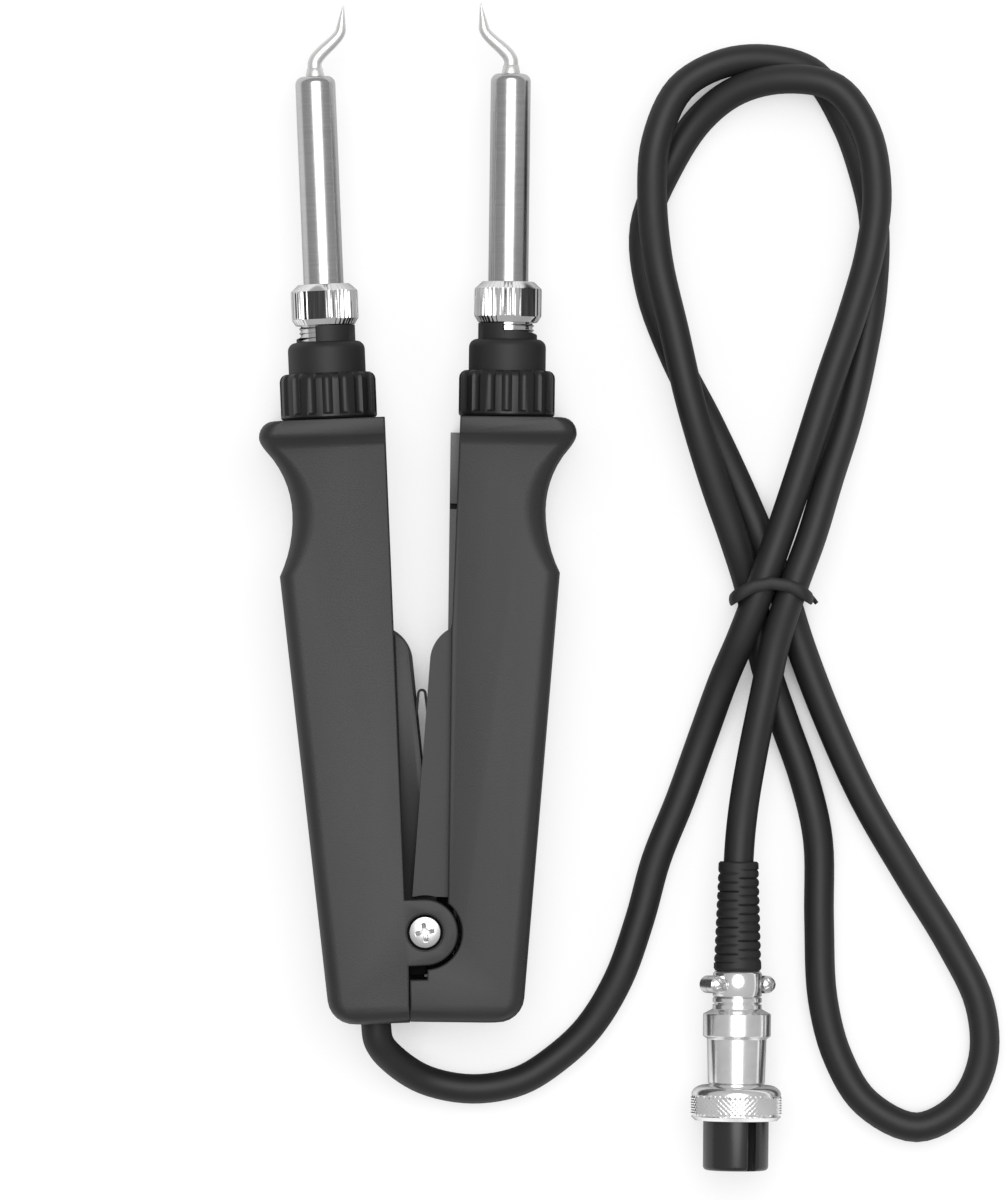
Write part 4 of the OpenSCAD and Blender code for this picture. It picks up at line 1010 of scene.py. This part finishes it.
@dataclass
class HeaterHead:
    """One arm's heater head: ring nut, holder, bush, nut, barrel and tip."""

    side: Side
    ring: Triple = (103.1, 9.2, 9.6)
    ring_bore: float = 7.8
    ring_flutes: int = 18
    flute_facets: int = 16
    flute_depth: float = 0.62
    flute_width: float = 0.62
    flute_fall: float = 0.8
    holder_round: Rounding = Rounding(0.25, 60.0, 0.6)
    bush: Triple = (113.6, 127.6, 5.3)
    bush_bore: float = 3.2
    thread_pitch: float = 0.9
    thread_depth: float = 0.45
    thread_from: float = 5.0
    nut: Triple = (121.9, 130.1, 6.7)
    nut_bore: float = 4.1
    nut_seat: float = 128.5
    nut_fit: float = 0.1
    nut_teeth: int = 40
    tooth_facets: int = 8
    tooth_depth: float = 0.34
    tooth_groove: float = 0.34
    nut_across: float = 12.4
    flat_match: float = 0.999
    nut_turns: Pair = (math.radians(-16), math.radians(41))
    barrel: Triple = (127.6, 171.7, 4.0)
    barrel_bore: float = 3.5
    barrel_rim: Pair = (5.3, 0.9)
    barrel_round: float = 1.6
    barrel_mouth: Pair = (1.9, 1.5)
    tip_shank: Pair = (3.25, 6.0)
    tip_collar: float = 1.8
    tip_neck: float = 1.7
    tip_steps: tuple[int, int] = (22, 6)
    tip_end: float = 185.7
    tip_kink: float = 181.1
    tip_reach: Pair = (-5.575, -6.247)
    tip_radii: Triple = (1.4, 1.0, 0.12)

    def build(self) -> None:
        """Makes the head's pieces, from the arm to the tip."""
        for make in (
            self.ring_nut, self.holder, self.thread_bush, self.barrel_nut, self.barrel_tube, self.tip,
        ):
            make()

    def keep(self, blank: Blank, part: str, finish: Finish, sharp: float = 38.0) -> None:
        """Sets a blank on the barrel's axis in place of its node.

        Args:
            blank: The blank, with Z along the barrel.
            part: Node name without its side.
            finish: Finish of its surface.
            sharp: Angle above which its edges stay sharp.
        """
        node = f"{self.side.value}_{part}"
        made = blank.piece(f"{node}_turned", finish, self.side.head, sharp)
        ride(made, self.side.body, node)

    def ring_nut(self) -> None:
        """Ring nut with round flutes between smooth ribs."""
        low, tall, radius = self.ring
        high, bore = low + tall, self.ring_bore
        levels = [
            (bore, low), (radius - 0.7, low), (radius - 0.2, low + 0.15), (radius, low + 0.5),
            (radius, low + 0.9), (radius, low + 1.3), (radius, high - 1.5), (radius - 0.12, high - 0.9),
            (radius - 0.5, high - 0.35), (radius - 1.1, high), (bore, high),
        ]
        share = [0, 0, 0, 0, 0.15, 1, 1, 1, 1, 0.4, 0]
        half = math.pi / self.ring_flutes

        def flute(angle: float, level: int) -> float:
            """Depth of the flutes round the nut."""
            place = abs((angle % (2 * half)) - half) / half / self.flute_width
            return -self.flute_depth * share[level] * max(0.0, 1 - place ** 2) ** self.flute_fall

        blank = Blank().draw(levels, self.ring_flutes * self.flute_facets, flute)
        self.keep(blank, "ring_nut", RIBBED, sharp=24)

    def holder(self) -> None:
        """The holder, as the solid has it, with its edges rounded."""
        node = f"{self.side.value}_heater_holder"
        ease_node(node, "moulded", PHENOLIC, self.side.body, self.holder_round)

    def thread_bush(self) -> None:
        """Bush with its thread cut round it."""
        low, high, radius = self.bush
        outline = [(self.bush_bore, high), (self.bush_bore, low), (radius, low)]
        height, root = low + self.thread_from, radius - self.thread_depth
        while height + self.thread_pitch < high:
            outline += [(radius, height), (root, height + self.thread_pitch / 2)]
            height += self.thread_pitch
        blank = Blank().turn(outline + [(radius, height), (radius, high)])
        self.keep(blank, "thread_bush", CHROME, sharp=30)

    def barrel_nut(self) -> None:
        """Nut with a straight knurl, two wrench flats and coned ends."""
        low, high, radius = self.nut
        seat, wide = self.nut_seat, self.bush[2] + self.nut_fit
        levels = [
            (wide, low), (radius - 1.0, low), (radius - 0.75, low + 0.1), (radius - 0.05, low + 1.2),
            (radius, low + 1.5), (radius, high - 1.7), (radius - 0.05, high - 1.4),
            (radius - 1.35, high - 0.2), (radius - 1.6, high), (self.nut_bore, high),
            (self.nut_bore, seat), (wide, seat),
        ]
        share = [0, 0, 0, 0.55, 1, 1, 0.55, 0, 0, 0, 0, 0]

        def knurl(angle: float, level: int) -> float:
            """Depth of the knurl's grooves."""
            place = abs((angle * self.nut_teeth / TURN) % 1.0 - 0.5) / self.tooth_groove
            return -self.tooth_depth * share[level] * (1 - min(1.0, place))

        blank = Blank().draw(levels, self.nut_teeth * self.tooth_facets, knurl)
        turn = self.nut_turns[self.side is Side.RIGHT]
        normal = Vector((math.sin(turn), -math.cos(turn), 0))
        for vert in blank.bm.verts:
            reach = vert.co.dot(normal)
            over = abs(reach) - self.nut_across / 2
            if over > 0:
                vert.co -= normal * math.copysign(over, reach)
        blank.bm.normal_update()
        # Marks the wrench flats for their painted dark reflection.
        painted_flat_reflection = blank.bm.faces.layers.float.new("painted_flat_reflection")
        for face in blank.bm.faces:
            face[painted_flat_reflection] = float(abs(face.normal.dot(normal)) > self.flat_match)
        self.keep(blank, "barrel_nut", CHROME, sharp=28)

    def barrel_tube(self) -> None:
        """Thin tube with a rim under the nut and a rounded end."""
        low, high, radius = self.barrel
        bore, turn = self.barrel_bore, self.barrel_round
        rim, rise = self.barrel_rim
        mouth, wall = self.barrel_mouth
        outline = [(bore, low), (rim, low), (rim, low + rise), (radius, low + rise)]
        for step in range(9):
            angle = math.pi / 2 * step / 8
            inward, back = turn * (1 - math.cos(angle)), turn * (1 - math.sin(angle))
            outline.append((radius - inward, high - back))
        outline += [(mouth, high), (mouth, high - wall), (bore, high - wall)]
        self.keep(Blank().turn(outline, 128), "barrel", STEEL)

    def tip(self) -> None:
        """Shank in the barrel, neck, and the bent rod down to its needle."""
        low, high, _ = self.barrel
        rod, kink, point = self.tip_radii
        shank, start = self.tip_shank[0], low + self.tip_shank[1]
        collar, top, neck = self.tip_collar, high - self.barrel_mouth[1], high + self.tip_neck
        blank = Blank().turn([
            (0, start), (shank, start), (shank, top), (collar, top), (collar, high + 0.4),
            (1.72, high + 0.7), (1.58, neck - 0.1), (1.45, neck), (0, neck),
        ], 48)
        turn, (bends, ends) = neck + 0.6, self.tip_steps
        path, radii = [Vector((0, 0, neck - 0.3)), Vector((0, 0, turn - 0.8))], [rod, rod]
        first, last = self.tip_reach
        for k in range(bends + 1):
            t = k / bends
            reach, height = first * t * t * (3 - 2 * t), turn + (self.tip_kink - turn) * t
            path.append(Vector((reach, 0, height)))
            radii.append(rod + (kink - rod) * t)
        for k in range(1, ends + 1):
            t = k / ends
            reach, height = first + (last - first) * t, self.tip_kink + (self.tip_end - self.tip_kink) * t
            path.append(Vector((reach, 0, height)))
            radii.append(kink + (point - kink) * t)
        blank.sweep(path, radii, 20, 1.0, Vector((0, 1, 0)))
        self.keep(blank, "tip", TIP, sharp=50)


@dataclass
class Hinge:
    """What turns and springs between the arms."""

    blend_half: float = 0.003
    blend_y: float = -0.06
    screw_round: Rounding = Rounding(0.18, 45.0, 0.4)

    def build(self) -> None:
        """Dresses the screw and copies the strip and leads that cross the hinge."""
        ease_node("hinge_screw", "head", SCREW, Side.RIGHT.body, self.screw_round)
        self.across("opening_spring", "spring_strip", BLACKED)
        self.across("crossing_leads", "crossing_lead_pair", BLACK_LEAD)
        for node, finish in (
            ("hinge_bush", BRASS), ("hinge_nut", SCREW), ("left_leads", RED_LEAD),
            ("cord_clamp", ARM), ("cord_clamp_screw", SCREW),
        ):
            coat(node, finish)

    def across(self, node: str, name: str, finish: Finish) -> None:
        """Copies a node that crosses the hinge into a piece of its own.

        Args:
            node: The CAD node.
            name: Name of the piece.
            finish: Finish of its surface.
        """
        made = Blank.of_node(node).piece(name, finish)
        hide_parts(node)
        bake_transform(made)


@dataclass
class Plug:
    """The plug on the cord: boot, clamp, shell, coupling ring and nose."""

    roll: float = math.radians(29)
    clamp_round: Rounding = Rounding(0.45, 50.0, 1.35)
    screw_round: Rounding = Rounding(0.15, 50.0, 0.45)
    boot: Triple = (21.8, 4.0, 4.8)
    boot_lip: Pair = (0.3, 0.35)
    boot_levels: int = 150
    boot_margin: float = 1.5
    boot_rows: int = 10
    boot_depth: float = 0.6
    bump_half: Pair = (0.43, 0.07)
    bump_fall: float = 2.4
    cord_bore: float = 3.1
    shell: tuple[Pair, ...] = (
        (3.1, 27.3), (4.9, 27.3), (4.9, 28.2), (4.5, 28.2), (4.5, 28.6), (4.9, 28.6), (4.9, 29.5),
        (6.8, 30.5), (6.8, 34.9), (5.95, 35.5), (5.7, 44.3), (5.4, 44.55), (5.4, 46.4),
        (6.55, 46.4), (6.55, 47.8), (3.1, 47.8),
    )
    shell_soft: float = 0.12
    shell_sharp: float = 8.0
    saddle_overlap: float = 0.05
    ring: Triple = (44.6, 7.2, 9.15)
    ring_end: float = 0.1
    ring_dome: float = 2.0
    ring_shoulder: float = 0.8
    ring_lip: Pair = (0.15, 0.95)
    ring_wall: float = 1.6
    ring_neck: float = 5.5
    ring_bore: float = 7.55
    knurl: tuple[int, int] = (104, 8)
    knurl_depth: float = 0.32
    nose_radius: float = 6.55
    nose_chamfer: float = 0.5
    nose_slack: float = 0.05
    nose_round: float = 0.34

    @property
    def place(self) -> Matrix:
        """The plug's frame: Z from the cord to the mouth."""
        x, y, z = PLUG_AT
        turn = Matrix.Rotation(-PLUG_YAW, 4, "Z") @ Matrix.Rotation(math.pi / 2, 4, "X")
        return Matrix.Translation((x, y - FRAME_Y, z)) @ turn @ Matrix.Rotation(-self.roll, 4, "Z")

    def build(self) -> list[Piece]:
        """Makes the plug's pieces.

        Returns:
            The pieces that lie on the cord.
        """
        made = [self.rubber_boot(), self.coupling_ring(), *self.back_shell()]
        for node, finish, rounding in (
            ("plug_clamp", SATIN, self.clamp_round), ("plug_clamp_screws", SCREW, self.screw_round),
        ):
            made.append(ease_node(node, "eased", finish, Side.LEFT.body, rounding))
        made.append(self.nose())
        coat("plug_contacts", BRASS)
        return made + [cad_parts["plug_contacts"]]

    def nose(self) -> Piece:
        """The insert, with its mouth's outer rim well rounded.

        Returns:
            The piece.
        """
        blank = Blank.of_node("plug_insert")
        back = self.place.inverted()
        mouth = max((back @ vert.co).z for vert in blank.bm.verts)
        inner, foot = (
            size - self.nose_chamfer - self.nose_slack for size in (self.nose_radius, mouth)
        )

        def on_rim(edge: Edge) -> bool:
            """Whether the edge runs round one of the mouth's two rims."""
            a, b = (back @ vert.co for vert in edge.verts)
            return abs(a.z - b.z) < 0.01 and a.z > foot and min(a.xy.length, b.xy.length) > inner

        made = blank.ease(self.nose_round, on_rim).piece("plug_insert_eased", NOSE)
        return ride(made, Side.LEFT.body, "plug_insert")

    def back_shell(self) -> list[Piece]:
        """The turned back shell, and the half clamp on its rear end.

        Returns:
            The two pieces.
        """
        blank = Blank().turn(self.shell, 128, self.shell_soft)
        turned = blank.piece("plug_shell_turned", SATIN, self.place, self.shell_sharp)
        half = Blank.of_node("plug_shell")
        bmesh.ops.transform(half.bm, matrix=self.place.inverted(), verts=half.bm.verts)
        bmesh.ops.bisect_plane(
            half.bm, geom=[*half.bm.verts, *half.bm.edges, *half.bm.faces], dist=1e-4,
            plane_co=(0, 0, self.shell[0][1] + self.saddle_overlap), plane_no=(0, 0, 1),
            clear_outer=True,
        )
        saddle = half.piece("plug_shell_clamp", SATIN, self.place, sharp=35)
        return [ride(made, Side.LEFT.body, "plug_shell") for made in (turned, saddle)]

    def rubber_boot(self) -> Piece:
        """Tapered boot with rows of bumps that interlock at its sides.

        Returns:
            The piece.
        """
        tall, small, large = self.boot
        inset, lip = self.boot_lip
        first, last = self.boot_margin, tall - self.boot_margin
        pitch = (last - first) / (self.boot_rows + 0.5)
        outline = [(self.cord_bore, 0.0), (small - inset, 0.0), (small, lip)]
        for k in range(1, self.boot_levels):
            height = lip + (tall - 2 * lip) * k / self.boot_levels
            outline.append((small + (large - small) * height / tall, height))
        outline += [(large - inset, tall), (self.cord_bore, tall)]

        def slots(angle: float, level: int) -> float:
            """Depth of the slots between the bumps.

            Args:
                angle: Place round the boot.
                level: Number of the level.

            Returns:
                What to add to the radius.
            """
            height = outline[level][1]
            if not 2 < level < len(outline) - 2 or not first < height < last:
                return 0.0
            turn = (angle - self.roll - TURN / 4) % TURN
            column = int(turn / (TURN / 2))
            inside = abs(turn / (TURN / 2) - column - 0.5) * 2
            place = ((height - first) / pitch + 0.5 * (column % 2)) % 1.0 - 0.5
            reach = max(0.0, 1 - inside ** self.bump_fall)
            half = self.bump_half[0] * reach + self.bump_half[1]
            steep = max(0.0, 1 - abs(place) / half)
            return -self.boot_depth * (0.5 + 0.5 * reach) * (1 - math.sqrt(1 - steep * steep))

        blank = Blank().draw(outline, 128, slots)
        made = blank.piece("plug_boot_slotted", BOOT, self.place, sharp=60)
        return ride(made, Side.LEFT.body, "plug_boot")

    def coupling_ring(self) -> Piece:
        """Domed ring with a diamond knurl.

        Returns:
            The piece.
        """
        low, tall, radius = self.ring
        neck, bore = self.ring_neck, self.ring_bore
        segments, rows = self.knurl
        base, high, floor = low + self.ring_end, low + tall, low + self.ring_wall
        step_in, lip = self.ring_lip
        outline = [(neck, base)]
        for step in range(7):
            angle = math.pi / 2 * step / 6
            span = radius - neck - self.ring_shoulder - step_in
            rise = self.ring_dome * (1 - math.cos(angle))
            outline.append((neck + self.ring_shoulder + span * math.sin(angle), base + rise))
        start = len(outline)
        foot, top = low + self.ring_dome + 0.2, high - lip
        outline += [(radius, foot + (top - foot) * row / rows) for row in range(rows + 1)]
        outline += [
            (radius - step_in, top + 0.2), (radius - 0.9, high), (bore, high), (bore, floor), (neck, floor),
        ]

        def diamonds(angle: float, level: int) -> float:
            """Grooves of the knurl, crossing between the raised points."""
            row, odd = level - start, (level - start + round(angle / TURN * segments)) % 2
            return -self.knurl_depth if row in (0, rows) or (odd and 0 < row < rows) else 0.0

        blank = Blank().draw(outline, segments, diamonds)
        grooves = [
            vert for vert in blank.bm.verts
            if foot - 0.01 < vert.co.z < top + 0.01
            and abs(vert.co.to_2d().length - radius + self.knurl_depth) < 0.01
        ]
        bmesh.ops.connect_verts(blank.bm, verts=grooves)
        made = blank.piece("plug_ring_knurled", SATIN, self.place, sharp=25)
        return ride(made, "coupling_ring", "plug_coupling_ring")


def main() -> None:
    """Builds the studio, the cord and the tool, in order."""
    logging.basicConfig(level=logging.INFO, format="%(name)s %(message)s")
    Studio().build()
    lead = Lead()
    cord, tie = lead.build()
    for side in Side:
        ToolArm(side).build()
        HeaterHead(side).build()
    Hinge().build()
    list(Plug().build())


if __name__ == "__main__":
    main()
